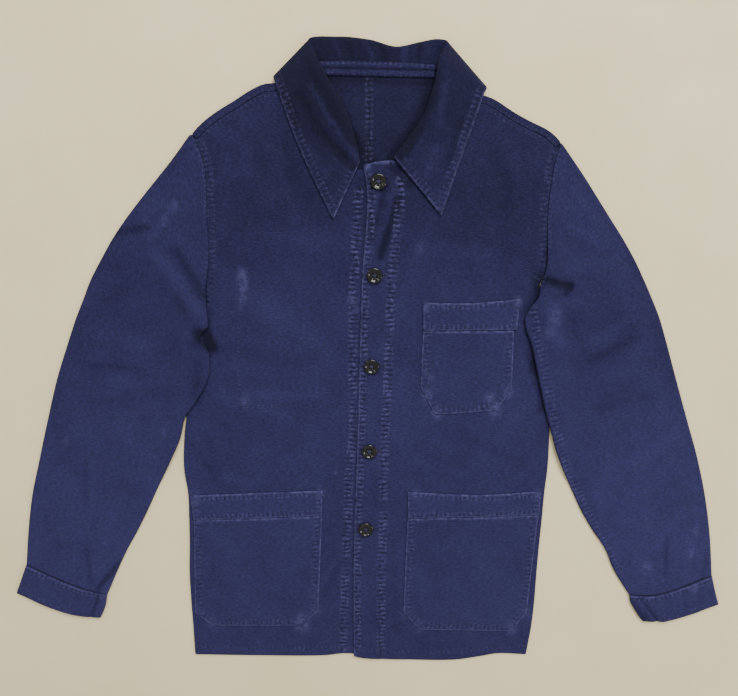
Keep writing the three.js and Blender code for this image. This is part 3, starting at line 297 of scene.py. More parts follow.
# On the sleeves and cuffs: painted shade in folds, beside the armholes, under a cuff's fold and in a
# cuff vent, a paler vent tab, and a worn pale stretch below an armpit
SLEEVE_SHADE_AND_TONE = [
    (-300, 140, -262, 146, 9, -.12), (-230, 118, -200, 66, 14, -.10),
    (-206, 20, -197, 4, 12, -.45), (-208, -20, -214, -60, 9, -.15),
    (208, 84, 240, 75, 12, -.22), (218, 46, 230, 10, 16, .22), (274, -16, 318, 10, 16, -.06),
    (352, 30, 372, -40, 20, -.08), (-348, -24, -284, -26, 12, -.05),
    (-352, -327, -368, -366, 3.5, -.35), (-345, -327, -356, -366, 4, .16),
    (346, -344, 374, -378, 10, -.34), (-323, -284, -356, -324, 6, -.24),
    (382, -255, 385, -303, 7, -.05), (-365, -275, -363, -315, 7, -.05),
]
# Rubbed spots: x, y, radius, strength
RUBBED = [
    (-151, 86, 8, .75), (-151, 76, 7, .65), (-152, 62, 6, .5), (-155, 50, 5, .3),
    (-153, -66, 7, .35), (72, -60, 7, .7), (84, -82, 7, .8), (157, -78, 8, .8),
    (149, -62, 7, .55), (172, -56, 7, .5), (76, -38, 5, .6), (68, -30, 5, .35),
    (67, -376, 9, .3), (49, -356, 8, .25), (205, -358, 9, .35), (188, -379, 10, .45),
    (-208, -371, 9, .3), (-225, -355, 8, .25), (-88, -371, 12, .6), (-70, -352, 9, .3),
    (-70, -330, 7, .3), (60, -190, 6, .4), (214, -190, 6, .5), (-222, -196, 8, .5),
    (-62, -188, 6, .5), (180, 56, 6, .6), (68, 52, 5, .5), (83, -213, 2, .9), (-42, -162, 2, .6),
    (-257, -108, 5, .35), (-228, 168, 5, .35), (-240, 152, 5, .35), (224, 40, 10, .35),
    (218, 20, 8, .3), (420, -240, 5, .4), (416, -272, 5, .4), (362, -292, 9, .35),
    (-350, -332, 5, .5), (-372, -325, 5, .3), (425, -320, 6, .45), (445, -316, 4, .4),
    (60, 120, 6, .25), (-20, 59, 5, .45), (-16, 48, 4, .35), (4, 88, 3, .4),
    (-345, 60, 8, .2), (-380, -120, 6, .25),
]


# Curves and distances, all over numpy arrays


def ease(start, end, x):
    """0 up to the start, 1 from the end on, and smooth between."""
    t = np.clip((np.asarray(x, float) - start) / (end - start), 0, 1)
    return t * t * (3 - 2 * t)


def mix(a, b, t):
    return a + (b - a) * t


def column(keys, values, at):
    """A smooth reading between a table's rows, with no overshoot."""
    keys, values = np.asarray(keys, float), np.asarray(values, float)
    if keys[0] > keys[-1]:
        keys, values = -keys, values
        at = -np.asarray(at, float)
    at = np.clip(at, keys[0], keys[-1])
    steps = np.diff(keys)
    slopes = np.diff(values) / steps
    tangents = np.zeros(len(keys))
    tangents[0], tangents[-1] = slopes[0], slopes[-1]
    a, b = slopes[:-1], slopes[1:]
    same = a * b > 0
    tangents[1:-1][same] = (2 * a * b)[same] / (a + b)[same]
    i = np.clip(np.searchsorted(keys, at, side="right") - 1, 0, len(keys) - 2)
    h = steps[i]
    t = (at - keys[i]) / h
    return ((2 * t**3 - 3 * t**2 + 1) * values[i] + (t**3 - 2 * t**2 + t) * h * tangents[i]
            + (3 * t**2 - 2 * t**3) * values[i + 1] + (t**3 - t**2) * h * tangents[i + 1])


def resampled(line, spacing):
    """The line with even steps of about the spacing."""
    line = np.asarray(line, float)
    lengths = np.r_[0, np.cumsum(np.linalg.norm(np.diff(line, axis=0), axis=1))]
    count = max(2, int(round(lengths[-1] / spacing)) + 1)
    at = np.linspace(0, lengths[-1], count)
    return np.stack([np.interp(at, lengths, line[:, k]) for k in range(line.shape[1])], 1)


def smooth_line(points, spacing=3.0):
    """A centripetal curve through the points."""
    p = np.asarray(points, float)
    p = np.vstack([2 * p[0] - p[1], p, 2 * p[-1] - p[-2]])
    out = []
    for i in range(1, len(p) - 2):
        p0, p1, p2, p3 = p[i - 1:i + 3]
        t0 = 0.0
        t1 = t0 + math.sqrt(np.linalg.norm(p1 - p0))
        t2 = t1 + math.sqrt(np.linalg.norm(p2 - p1))
        t3 = t2 + math.sqrt(np.linalg.norm(p3 - p2))
        t = np.linspace(t1, t2, 16, endpoint=False)[:, None]
        a1 = (t1 - t) / (t1 - t0) * p0 + (t - t0) / (t1 - t0) * p1
        a2 = (t2 - t) / (t2 - t1) * p1 + (t - t1) / (t2 - t1) * p2
        a3 = (t3 - t) / (t3 - t2) * p2 + (t - t2) / (t3 - t2) * p3
        b1 = (t2 - t) / (t2 - t0) * a1 + (t - t0) / (t2 - t0) * a2
        b2 = (t3 - t) / (t3 - t1) * a2 + (t - t1) / (t3 - t1) * a3
        out.append((t2 - t) / (t2 - t1) * b1 + (t - t1) / (t2 - t1) * b2)
    out.append(p[-2:-1])
    return resampled(np.vstack(out), spacing)


def nearest(points, line):
    """Signed distance to a line and the way along it, for each point."""
    points, line = np.asarray(points, float), np.asarray(line, float)
    a, ab = line[:-1], np.diff(line, axis=0)
    length2 = np.maximum((ab**2).sum(1), 1e-9)
    starts = np.r_[0, np.cumsum(np.sqrt(length2))][:-1]
    far = np.empty(len(points))
    along = np.empty(len(points))
    for lo in range(0, len(points), 4000):
        p = points[lo:lo + 4000, None, :2]
        ap = p - a
        t = np.clip((ap * ab).sum(2) / length2, 0, 1)
        off = ap - t[..., None] * ab
        d = np.sqrt((off**2).sum(2))
        k = d.argmin(1)
        row = np.arange(len(k))
        side = ab[k, 0] * ap[row, k, 1] - ab[k, 1] * ap[row, k, 0]
        far[lo:lo + 4000] = d[row, k] * np.where(side >= 0, 1, -1)
        along[lo:lo + 4000] = starts[k] + t[row, k] * np.sqrt(length2[k])
    return far, along


def inside(points, outline):
    """Which of the points lie within the outline."""
    points, outline = np.asarray(points, float), np.asarray(outline, float)
    x, y = points[:, 0][:, None], points[:, 1][:, None]
    x1, y1 = outline[:, 0], outline[:, 1]
    x2, y2 = np.roll(x1, -1), np.roll(y1, -1)
    rise = np.where(y2 == y1, 1e-9, y2 - y1)
    result = np.zeros(len(points), bool)
    for lo in range(0, len(points), 4000):
        ys = y[lo:lo + 4000]
        cross = ((y1 > ys) != (y2 > ys)) & (x[lo:lo + 4000] < (x2 - x1) * (ys - y1) / rise + x1)
        result[lo:lo + 4000] = cross.sum(1) % 2 == 1
    return result


def closed(outline):
    return np.vstack([outline, outline[:1]])


def signed_area(outline):
    """Area within the outline, above nought when it runs anticlockwise."""
    rim = closed(np.asarray(outline, float))
    return (rim[:-1, 0] * rim[1:, 1] - rim[1:, 0] * rim[:-1, 1]).sum() / 2


def depth_inside(points, outline):
    return np.where(inside(points, outline), np.abs(nearest(points, closed(outline))[0]), 0.0)


def depth_outside(points, outline):
    return np.where(inside(points, outline), 0.0, np.abs(nearest(points, closed(outline))[0]))


def cover(outline, points, fall):
    """1 over the outline and a little round it, falling to 0 further out."""
    return 1 - ease(SPREAD_EDGE, SPREAD_EDGE + fall, depth_outside(points, outline))


def fold_height(folds, points):
    """Height that the folds of a table give at each point."""
    height = np.zeros(len(points))
    for x1, y1, x2, y2, wide, high in folds:
        d = np.abs(nearest(points, [(x1, y1), (x2, y2)])[0])
        height += high * (1 - ease(0, wide, d))
    return height


def moved(line, distance):
    """The line moved to the left of its own direction."""
    line = np.asarray(line, float)
    way = np.gradient(line, axis=0)
    way /= np.linalg.norm(way, axis=1)[:, None]
    return line + np.stack([-way[:, 1], way[:, 0]], 1) * distance


# Edges of the pieces

shoulder_right = smooth_line(SHOULDER_RIGHT)
shoulder_left = smooth_line(SHOULDER_LEFT)
armhole_right = smooth_line(ARMHOLE_RIGHT)
armhole_left = smooth_line(ARMHOLE_LEFT)
side_right = smooth_line(SIDE_RIGHT, 4)
side_left = smooth_line(SIDE_LEFT, 4)
front_edge = smooth_line(FRONT_EDGE, 3)
hem_right = smooth_line(HEM_RIGHT, 4)
hem_left = smooth_line(HEM_LEFT, 4)
body_outline = resampled(np.vstack([
    shoulder_right, armhole_right[1:], side_right[1:], hem_left[1:],
    side_left[::-1][1:], armhole_left[::-1][1:], shoulder_left[::-1][1:]]), 12)


def collar_at(k):
    """The collar's measures at a place between its rows."""
    rows = np.arange(len(COLLAR))
    return [column(rows, [row[c] for row in COLLAR], k) for c in range(8)]


def neck_edge(start, end):
    """Edge of the cloth along the collar's seam, between two places on the collar."""
    k = np.linspace(start, end, int(abs(end - start) * 6) + 1)
    fx, fy, _, _, _, sx, sy, _ = collar_at(k)
    dx, dy = sx - fx, sy - fy
    away = NECK_SET / np.hypot(dx, dy)
    return np.stack([sx + dx * away, sy + dy * away], 1)


under_edge = front_edge + np.array([FRONT_OVERLAP, -4.0])
strip_right = moved(shoulder_right, SHOULDER_STRIP + GAP)
strip_left = moved(shoulder_left, -SHOULDER_STRIP - GAP)
front_right_outline = np.vstack([
    neck_edge(0, 5), strip_right[strip_right[:, 0] < -76], armhole_right[2:-1],
    side_right, hem_right[1:-1], under_edge[::-1]])
top_neck = np.vstack([neck_edge(14.5, 20), [(27, 222.5), (10, 221)]])
front_left_outline = np.vstack([
    front_edge, hem_left[1:-1], side_left[::-1], armhole_left[::-1][1:-2],
    strip_left[strip_left[:, 0] > 108][::-1], top_neck])
coarse_under = resampled(closed(front_right_outline), 10)[:-1]


# How high each sheet lies


def back_bottom(p):
    return UNDER_LEAF * cover(FLOOR_LEAF, p, 34)


def back_top(p):
    return back_bottom(p) + CLOTH


def front_loft(p):
    """How far the fronts stand off the back, with folds and creases."""
    depth = depth_inside(p, body_outline)
    loft = FRONT_LOFT * ease(4, 75, depth)
    loft = loft + fold_height(FRONT_FOLDS, p) * ease(4, 40, depth)
    for a, b in ARMPITS:
        loft = loft * (0.12 + 0.88 * ease(34, 80, np.abs(nearest(p, [a, b])[0])))
    creases = fold_height(FRONT_CREASES, p) * ease(8, 40, depth)
    ripple = 0.12 * np.sin(p[:, 0] / 23 + np.sin(p[:, 1] / 41)) * np.sin(p[:, 1] / 33 + 1)
    loft = loft * (1 - 0.75 * ease(205, 285, p[:, 1])) + creases + ripple * ease(4, 60, depth)
    return np.maximum(loft, -0.05)


def front_bottom(p):
    return back_top(p) + GAP + (1.0 + GAP) * cover(INSIDE_POCKET, p, 30) + front_loft(p)


def front_top(p):
    return front_bottom(p) + CLOTH


def top_bottom(p):
    return front_bottom(p) + (CLOTH + GAP) * cover(coarse_under, p, 26)


def top_cloth(p):
    edge_x = np.interp(-p[:, 1], -front_edge[:, 1], front_edge[:, 0])
    return CLOTH + PLACKET_EXTRA * (1 - ease(PLACKET_WIDTH - 3, PLACKET_WIDTH + 2,
                                             p[:, 0] - edge_x))


def top_top(p):
    return top_bottom(p) + top_cloth(p)


# Sewing: every seam is a line with rows of stitches at some distances beside it


class Seam:
    """A sewn line: rows are stitch rows beside it, wide is half of the puckered band, and wear sets
    how strongly its pale crests and painted hollow shade show.
    """

    def __init__(self, line, rows=(0.0,), wide=4.5, wear=1.0, pucker=1.0, stitch=True):
        self.line = resampled(line, 2.0)
        self.rows, self.wide, self.wear = rows, wide, wear
        self.pucker, self.stitch = pucker, stitch
        self.middle = float(np.mean(rows))
        self.phase = float(self.line[0].sum())

    def near(self, points):
        """Which points lie near the seam, how far off they are and how far along it."""
        low, high = self.line.min(0) - SEAM_REACH, self.line.max(0) + SEAM_REACH
        close = np.flatnonzero(((points[:, :2] > low) & (points[:, :2] < high)).all(1))
        if len(close) == 0:
            return close, np.zeros(0), np.zeros(0)
        d, s = nearest(points[close], self.line)
        return close, d, s

    def relief(self, d, s):
        """Height beside the line: grooves where the thread pulls, ripples between."""
        height = np.zeros(len(d))
        for row in self.rows:
            height -= 0.30 * np.exp(-((d - row) / 0.8) ** 2)
        band = 1 - ease(self.wide * 0.7, self.wide * 1.35, np.abs(d - self.middle))
        s = s + self.phase
        wave = np.sin(s / 1.15 + 2.2 * np.sin(s / 13.0)) + 0.7 * np.sin(s / 0.67 + 1.5 * np.sin(s / 9))
        strength = 0.65 + 0.45 * np.sin(s / 21 + 1.3 * np.sin(s / 37))
        return height + self.pucker * band * (0.17 * wave * strength + 0.16)


facing_row = smooth_line([(37, 205), (35, 160), (28, 95), (25.5, 35), (23.5, -26),
                          (21, -90), (19, -156), (18, -237), (16, -298), (16, -413)])
under_row = smooth_line([(-12, 190), (-16, 120), (-19, 59), (-19.5, -30), (-20.5, -118),
                         (-24, -144), (-27, -210), (-30, -281), (-34.5, -397), (-35, -410)])
edge_row = front_edge[3:-4] + np.array([5.2, 0])
hem_row_right = smooth_line([(-232, -408), (-150, -409), (-60, -409), (-33, -407), (-22, -408)])
hem_row_left = smooth_line([(-19, -411), (30, -414), (60, -415.5), (115, -415.5),
                            (150, -411), (172, -407), (210, -408)])
TOP_SEAMS = [
    Seam(edge_row, rows=(-2.6, 2.8), wide=4.6),
    Seam(facing_row, rows=(-3.2, 3.2), wide=5.6),
    Seam(hem_row_left, rows=(0,), wide=3, wear=.35, pucker=.6),
    Seam(moved(armhole_left, -5.5), rows=(-3.2, 3.4), wide=4.6, wear=.42, pucker=.6),
    Seam(moved(shoulder_left, -12), rows=(0,), wide=2.4, wear=.25, pucker=.4),
] + [Seam([(x - 10, y), (x + 14, y)], rows=(0,), wide=1.6, wear=.3, pucker=0, stitch=False)
     for x, y in BUTTONS]
UNDER_SEAMS = [
    Seam(under_row, rows=(-3.4, 3.4), wide=5.6),
    Seam(hem_row_right, rows=(0,), wide=3, wear=.35, pucker=.6),
    Seam(moved(armhole_right, 5.5), rows=(-3.4, 3.2), wide=4.6, wear=.42, pucker=.6),
    Seam(moved(shoulder_right, 12), rows=(0,), wide=2.4, wear=.35, pucker=.4),
    Seam([(-156, 92), (-161, -73)], rows=(0,), wide=1.5, wear=.35, pucker=.25),
    Seam([(-161, -73), (-26, -73)], rows=(0,), wide=1.5, wear=.4, pucker=.25),
    Seam([(-161, -60), (-150, -60), (-150, -73)], rows=(0,), wide=1.2, wear=.5, pucker=.2),
]
BACK_SEAMS = [
    Seam([(0.2, 312), (0.2, -412)], rows=(-3.2, 3.2), wide=4.6, wear=.7, pucker=.6),
]


# Meshes


def frame_shift():
    """From the cut's own middle to the frame's origin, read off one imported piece."""
    low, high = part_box("chest_band")
    return high[0] / MM - CHEST_BAND[4][0], high[1] / MM - CHEST_BAND[4][1]


SHIFT_X, SHIFT_Y = frame_shift()


def make_object(name, points, faces, material, attributes=None, uv=None):
    """A smooth piece with its values per corner and its place on the cut."""
    points = np.asarray(points, float).copy()
    points[:, 0] += SHIFT_X
    points[:, 1] += SHIFT_Y
    mesh = bpy.data.meshes.new(name)
    mesh.from_pydata((points * MM).tolist(), [], faces)
    mesh.validate()
    for key, values in (attributes or {}).items():
        values = np.asarray(values, float)
        kind = "FLOAT_VECTOR" if values.ndim == 2 else "FLOAT"
        layer = mesh.attributes.new(key, kind, "POINT")
        layer.data.foreach_set("vector" if values.ndim == 2 else "value", values.ravel())
    if uv is not None:
        corners = np.empty(len(mesh.loops), int)
        mesh.loops.foreach_get("vertex_index", corners)
        layer = mesh.uv_layers.new(name="cut")
        layer.data.foreach_set("uv", (np.asarray(uv)[corners] * MM).ravel())
    mesh.polygons.foreach_set("use_smooth", np.ones(len(mesh.polygons), bool))
    mesh.update()
    piece = bpy.data.objects.new(name, mesh)
    bpy.context.scene.collection.objects.link(piece)
    mesh.materials.append(material)
    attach(piece, "root")
    return piece


def sewn(points, seams):
    """Relief of the seams, and for the material: way along, distance and strength."""
    best = np.full(len(points), 1e9)
    marks = np.zeros((len(points), 3))
    height = np.zeros(len(points))
    for seam in seams:
        close, d, s = seam.near(points)
        height[close] += seam.relief(d, s)
        off = d - seam.middle
        score = np.abs(off) / seam.wide
        strength = seam.wear * (1 - ease(1.2, 1.9, score))
        take = score < best[close]
        best[close[take]] = score[take]
        marks[close[take]] = np.stack([s + seam.phase, off / seam.wide, strength], 1)[take]
    return height, marks


def rubbed(points):
    """Strength of the rubbed spots at each point."""
    strength = np.zeros(len(points))
    for x, y, radius, much in RUBBED:
        d = np.hypot(points[:, 0] - x, (points[:, 1] - y) * 0.7)
        strength = np.maximum(strength, much * (1 - ease(radius * 0.3, radius * 1.3, d)))
    return strength


def body_tone(p):
    # Darker towards the top and at the upper right, paler low down and at the lower left; then the
    # body's table of painted shade, and painted shade in the creases with painted light on their
    # ridges.
    tone = (0.05 * ease(80, -80, p[:, 1]) + 0.03 * ease(-80, -300, p[:, 1])
            - 0.17 * ease(40, 180, p[:, 1])
            - 0.06 * ease(0, 140, p[:, 0]) * ease(20, 160, p[:, 1])
            + 0.06 * ease(60, -100, p[:, 0]) * ease(40, -160, p[:, 1]))
    return (tone + fold_height(BODY_SHADE_AND_TONE, p)
            + np.clip(0.13 * fold_height(FRONT_CREASES, p), -0.28, 0.16))


def back_tone(p):
    # Darker overall, with painted shade beside the collar's rolls.
    return fold_height(BACK_PAINTED_SHADE, p) - 0.20


def sleeve_tone(p):
    # Paler low down towards the cuffs; then the sleeves' table of painted shade, and painted shade in
    # the creases with painted light on their ridges.
    low = ease(60, -250, p[:, 1])
    right = ease(0, 1, p[:, 0])
    creases = fold_height(RIGHT_SLEEVE_CREASES + LEFT_SLEEVE_CREASES, p)
    return (-0.02 + low * (0.30 - 0.02 * right) + fold_height(SLEEVE_SHADE_AND_TONE, p)
            + np.clip(0.11 * creases, -0.22, 0.16))


def collar_tone(p):
    # Darker overall and towards the top, paler to the right; painted shade in the creases with painted
    # light on their ridges, and painted shade beside the rolls.
    return (-0.26 - 0.18 * ease(170, 300, p[:, 1]) + 0.10 * ease(0, 60, p[:, 0])
            + np.clip(0.22 * fold_height(COLLAR_CREASES, p), -0.2, 0.22)
            + 0.7 * fold_height(BACK_PAINTED_SHADE, p))


def seam_points(seams, outline):
    """Lines of corners along the seams, so that the sheet can take their shape."""
    rows = []
    for seam in seams:
        offsets = {0.0, -seam.wide * 1.8, seam.wide * 1.8}
        for row in seam.rows:
            offsets |= {row - 1.3, row, row + 1.3}
        for offset in sorted(offsets):
            rows.append(moved(seam.line, offset))
    if not rows:
        return np.zeros((0, 2))
    rows = np.vstack(rows)
    return rows[depth_inside(rows, outline) > 1.2]


def sheet_points(outline, seams, grid):
    """Corners for a sheet: its edge, two rings within it, lines at the seams, and a field."""
    low, high = outline.min(0), outline.max(0)
    ys = np.arange(low[1], high[1], grid * 0.87)
    gx, gy = np.meshgrid(np.arange(low[0], high[0], grid), ys)
    gx = gx + (np.arange(len(ys)) % 2)[:, None] * grid / 2
    field = np.stack([gx.ravel(), gy.ravel()], 1)
    field = field[depth_inside(field, outline) > 2.4]
    turn = np.sign(signed_area(outline))
    rings = [moved(closed(outline), turn * d)[:-1] for d in (0.35, 1.0)]
    rings = np.vstack([r[depth_inside(r, outline) > 0.25] for r in rings])
    clear = np.ones(len(field), bool)
    for seam in seams:
        close, d, _ = seam.near(field)
        clear[close] &= np.abs(d - seam.middle) > seam.wide * 1.5
    return np.vstack([outline, rings, seam_points(seams, outline), field[clear]])


def triangulated(points, rim_count):
    """Plan and triangles of a sheet, and which of its corners lie on the rim."""
    edges = [(i, (i + 1) % rim_count) for i in range(rim_count)]
    verts, _, faces, _, _, _ = delaunay_2d_cdt(points.tolist(), edges, [], 1, 1e-4)
    used = sorted({i for face in faces for i in face})
    renumber = {old: new for new, old in enumerate(used)}
    plan = np.array([(v[0], v[1]) for v in verts])[used]
    faces = [[renumber[i] for i in face] for face in faces]
    counts = {}
    for face in faces:
        for i, a in enumerate(face):
            b = face[(i + 1) % len(face)]
            counts[(min(a, b), max(a, b))] = counts.get((min(a, b), max(a, b)), 0) + 1
    on_rim = np.zeros(len(plan), bool)
    on_rim[sorted({i for edge, uses in counts.items() if uses == 1 for i in edge})] = True
    return plan, faces, on_rim


def cloth_sheet(name, outline, bottom, cloth, material, seams=(), grid=3.4, fade_and_shade=0.0,
                shape_top=None, tone=body_tone, pale=None, both_sides=False):
    """A sheet of cloth with rounded edges, cut to an outline and laid at a height."""
    outline = resampled(closed(np.asarray(outline, float)), 2.6)[:-1]
    plan, faces, on_rim = triangulated(sheet_points(outline, seams, grid), len(outline))
    depth = np.abs(nearest(plan, closed(outline))[0])
    depth[on_rim] = 0
    round_off = np.sqrt(1 - (1 - np.clip(depth / 0.9, 0, 1)) ** 2)
    thick = cloth(plan) if callable(cloth) else np.full(len(plan), float(cloth))
    base = bottom(plan)
    relief, marks = sewn(plan, seams)
    relief = relief * ease(0, 2, depth)
    if shape_top is not None:
        relief = relief + shape_top(plan, depth)
    top = base + thick / 2 + thick / 2 * round_off + relief
    under = base + thick / 2 - thick / 2 * round_off
    twin = np.where(on_rim, np.arange(len(plan)), 0)
    free = np.flatnonzero(~on_rim)
    twin[free] = len(plan) + np.arange(len(free))
    upper = np.column_stack([plan, top])
    lower = np.column_stack([plan, under])[free]
    both = np.vstack([upper, lower])
    back_faces = [[int(twin[i]) for i in reversed(face)] for face in faces]
    to_edge = depth if pale is None else np.abs(nearest(plan, pale)[0])
    wear = np.maximum(1 - ease(0.4, 2.6, to_edge), rubbed(plan))
    # The tone holds painted shade and painted light as well as fading.
    tones = fade_and_shade + tone(plan)
    return make_object(
        name, both, faces + back_faces, material,
        {"seam": np.vstack([marks, marks[free] * both_sides]),
         "wear": np.r_[wear, wear[free] * 0.2], "fade_and_shade": np.r_[tones, tones[free]]},
        np.vstack([plan, plan[free]]))


STITCHES = []
# A line far off, for sheets whose edges stay dark
NO_PALE_EDGE = [(0, 400), (0, 401)]


def sew(group, seams, height, outline=None):
    """Keeps the places of a seam's stitches: a point and its direction for each."""
    for seam in seams:
        if not seam.stitch:
            continue
        for row in seam.rows:
            line = resampled(moved(seam.line, row), STITCH_PITCH)
            if outline is not None:
                keep = depth_inside(line, outline) > 1.2
            else:
                keep = np.ones(len(line), bool)
            z = height(line) - 0.08
            points = np.column_stack([line, z])
            way = np.gradient(points, axis=0)
            way /= np.linalg.norm(way, axis=1)[:, None]
            STITCHES.append((group, points[keep], way[keep]))


# Materials


def new_group(name, inputs, outputs):
    tree = bpy.data.node_groups.new(name, "ShaderNodeTree")
    for label, kind, default in inputs:
        socket = tree.interface.new_socket(label, in_out="INPUT", socket_type=kind)
        if default is not None:
            socket.default_value = default
    for label, kind in outputs:
        tree.interface.new_socket(label, in_out="OUTPUT", socket_type=kind)
    source = tree.nodes.new("NodeGroupInput")
    target = tree.nodes.new("NodeGroupOutput")
    return tree, source, target


class Wiring:
    """Adds and joins the nodes of one tree."""

    def __init__(self, tree):
        self.tree = tree

    def node(self, kind, **settings):
        made = self.tree.nodes.new(kind)
        for key, value in settings.items():
            setattr(made, key, value)
        return made

    def join(self, source, target):
        self.tree.links.new(source, target)

    def feed(self, socket, value):
        if hasattr(value, "is_output"):
            self.join(value, socket)
        else:
            socket.default_value = value

    def math(self, operation, a, b=0.0, clamp=False):
        made = self.node("ShaderNodeMath", operation=operation, use_clamp=clamp)
        for socket, value in zip(made.inputs, (a, b)):
            self.feed(socket, value)
        return made.outputs[0]

    def times(self, a, b):
        return self.math("MULTIPLY", a, b)

    def plus(self, a, b):
        return self.math("ADD", a, b)

    def stretched(self, x, x_scale, y, y_scale):
        """A place made of two values, each times its own scale."""
        place = self.node("ShaderNodeCombineXYZ")
        self.join(self.times(x, x_scale), place.inputs[0])
        self.join(self.times(y, y_scale), place.inputs[1])
        return place.outputs[0]

    def bump(self, height, strength, distance, normal=None):
        made = self.node("ShaderNodeBump")
        made.inputs["Strength"].default_value = strength
        made.inputs["Distance"].default_value = distance
        self.join(height, made.inputs["Height"])
        if normal is not None:
            self.join(normal, made.inputs["Normal"])
        return made.outputs[0]

    def noise(self, vector, scale, detail=2.0, rough=0.55):
        made = self.node("ShaderNodeTexNoise", noise_dimensions="3D")
        self.feed(made.inputs["Vector"], vector)
        made.inputs["Scale"].default_value = scale
        made.inputs["Detail"].default_value = detail
        made.inputs["Roughness"].default_value = rough
        return made.outputs["Fac"]

    def span(self, value, low, high, to_low=0.0, to_high=1.0):
        made = self.node("ShaderNodeMapRange", interpolation_type="SMOOTHSTEP")
        self.feed(made.inputs[0], value)
        for socket, number in zip(made.inputs[1:5], (low, high, to_low, to_high)):
            self.feed(socket, number)
        return made.outputs[0]

    def blend(self, factor, a, b, kind="MIX"):
        made = self.node("ShaderNodeMix", data_type="RGBA", blend_type=kind)
        self.feed(made.inputs["Factor"], factor)
        self.feed(made.inputs["A"], a)
        self.feed(made.inputs["B"], b)
        return made.outputs["Result"]


def weave_group():
    """Twill ribs and yarn grain over the cut's own flat measure."""
    tree, source, target = new_group(
        "Twill", [("Cut", "NodeSocketVector", None), ("Ribs", "NodeSocketFloat", 1100.0)],
        [("Height", "NodeSocketFloat"), ("Grain", "NodeSocketFloat")])
    w = Wiring(tree)
    parts = w.node("ShaderNodeSeparateXYZ")
    w.join(source.outputs["Cut"], parts.inputs[0])
    slant = w.plus(parts.outputs[0], w.times(parts.outputs[1], 0.62))
    bend = w.times(w.noise(source.outputs["Cut"], 160, 1), 0.0011)
    turns = w.times(w.plus(slant, bend), source.outputs["Ribs"])
    rib = w.math("SINE", w.times(turns, 6.2832))
    yarn = w.math("SINE", w.times(w.times(parts.outputs[1], 6.2832),
                                  w.times(source.outputs["Ribs"], 1.7)))
    grain = w.noise(source.outputs["Cut"], 1500, 2, 0.7)
    height = w.plus(w.times(rib, 0.30), w.times(yarn, 0.10))
    w.join(w.plus(height, grain), target.inputs["Height"])
    w.join(w.plus(grain, w.times(rib, 0.06)), target.inputs["Grain"])
    return tree


def seam_group():
    """Ripples, pale crests and dark hollows of painted shade along sewn lines, from the seam
    attribute.
    """
    tree, source, target = new_group(
        "Sewn ripples", [("Seam", "NodeSocketVector", None)],
        [("Crest", "NodeSocketFloat"), ("Hollow shade", "NodeSocketFloat"),
         ("Height", "NodeSocketFloat")])
    w = Wiring(tree)
    parts = w.node("ShaderNodeSeparateXYZ")
    w.join(source.outputs["Seam"], parts.inputs[0])
    along, off, strength = parts.outputs
    rough = w.noise(w.stretched(along, 0.36, off, 0.95), 1.0, 2, 0.6)
    drift = w.noise(w.stretched(along, 0.09, off, 0.30), 1.0, 2, 0.6)
    turn = w.plus(w.times(along, 1.06), w.times(drift, 9.0))
    rungs = w.plus(w.times(w.math("SINE", turn), 0.5), 0.5)
    ticks = w.plus(w.times(rungs, 0.27), w.times(rough, 0.73))
    patch = w.noise(w.stretched(along, 0.045, off, 0.8), 1.0, 3, 0.6)
    broken = w.span(patch, 0.38, 0.62, 0.12, 1.0)
    from_middle = w.math("ABSOLUTE", off)
    band = w.times(w.span(from_middle, 0.80, 1.30, 1.0, 0.0), strength)
    beads = w.span(w.noise(w.stretched(along, 0.36, off, 2.2), 1.0, 1, 0.5), 0.50, 0.66)
    from_row = w.math("ABSOLUTE", w.math("SUBTRACT", from_middle, 0.72))
    near_row = w.span(from_row, 0.0, 0.34, 1.0, 0.0)
    crest = w.math("MAXIMUM", w.span(ticks, 0.49, 0.66), w.times(w.times(near_row, beads), 0.9))
    w.join(w.times(w.times(crest, broken), band), target.inputs["Crest"])
    # The hollows are painted shade between the puckers.
    w.join(w.times(w.span(ticks, 0.46, 0.30), band), target.inputs["Hollow shade"])
    w.join(w.times(w.math("SUBTRACT", ticks, 0.5), band), target.inputs["Height"])
    return tree


def new_material(name):
    """A material with one Principled shader, its wiring and that shader."""
    made = bpy.data.materials.new(name)
    made.use_nodes = True
    return made, Wiring(made.node_tree), made.node_tree.nodes["Principled BSDF"]


def mottled_dye(w, spot, fade_and_shade, sizes, tone):
    """Cloth colour before wear: deep where it kept its dye and where shade is painted, pale where it
    lost its dye and where light is painted.
    """
    broad = w.math("SUBTRACT", w.noise(spot, 8, 3, 0.55), 0.5)
    patchy = w.math("SUBTRACT", w.noise(spot, 38, 3, 0.6), 0.5)
    speck = w.math("SUBTRACT", w.noise(spot, 330, 3, 0.7), 0.5)
    fade_and_shade_mix = w.plus(w.times(broad, 0.36), w.times(patchy, 0.34))
    fade_and_shade_mix = w.plus(fade_and_shade_mix, w.times(speck, 0.60))
    # The corner's tone adds painted shade and painted light to the dye's fading.
    fade_and_shade_mix = w.math("ADD", w.plus(fade_and_shade_mix, 0.38), fade_and_shade, clamp=True)
    dark = [c * tone for c in sizes.deep_colour] + [1.0]
    light = [c * tone for c in sizes.faded_colour] + [1.0]
    # The second colour, half the deep dye, is painted shade for the hollows of the seams.
    return w.blend(fade_and_shade_mix, dark, light), [c * 0.5 for c in dark[:3]] + [1.0]


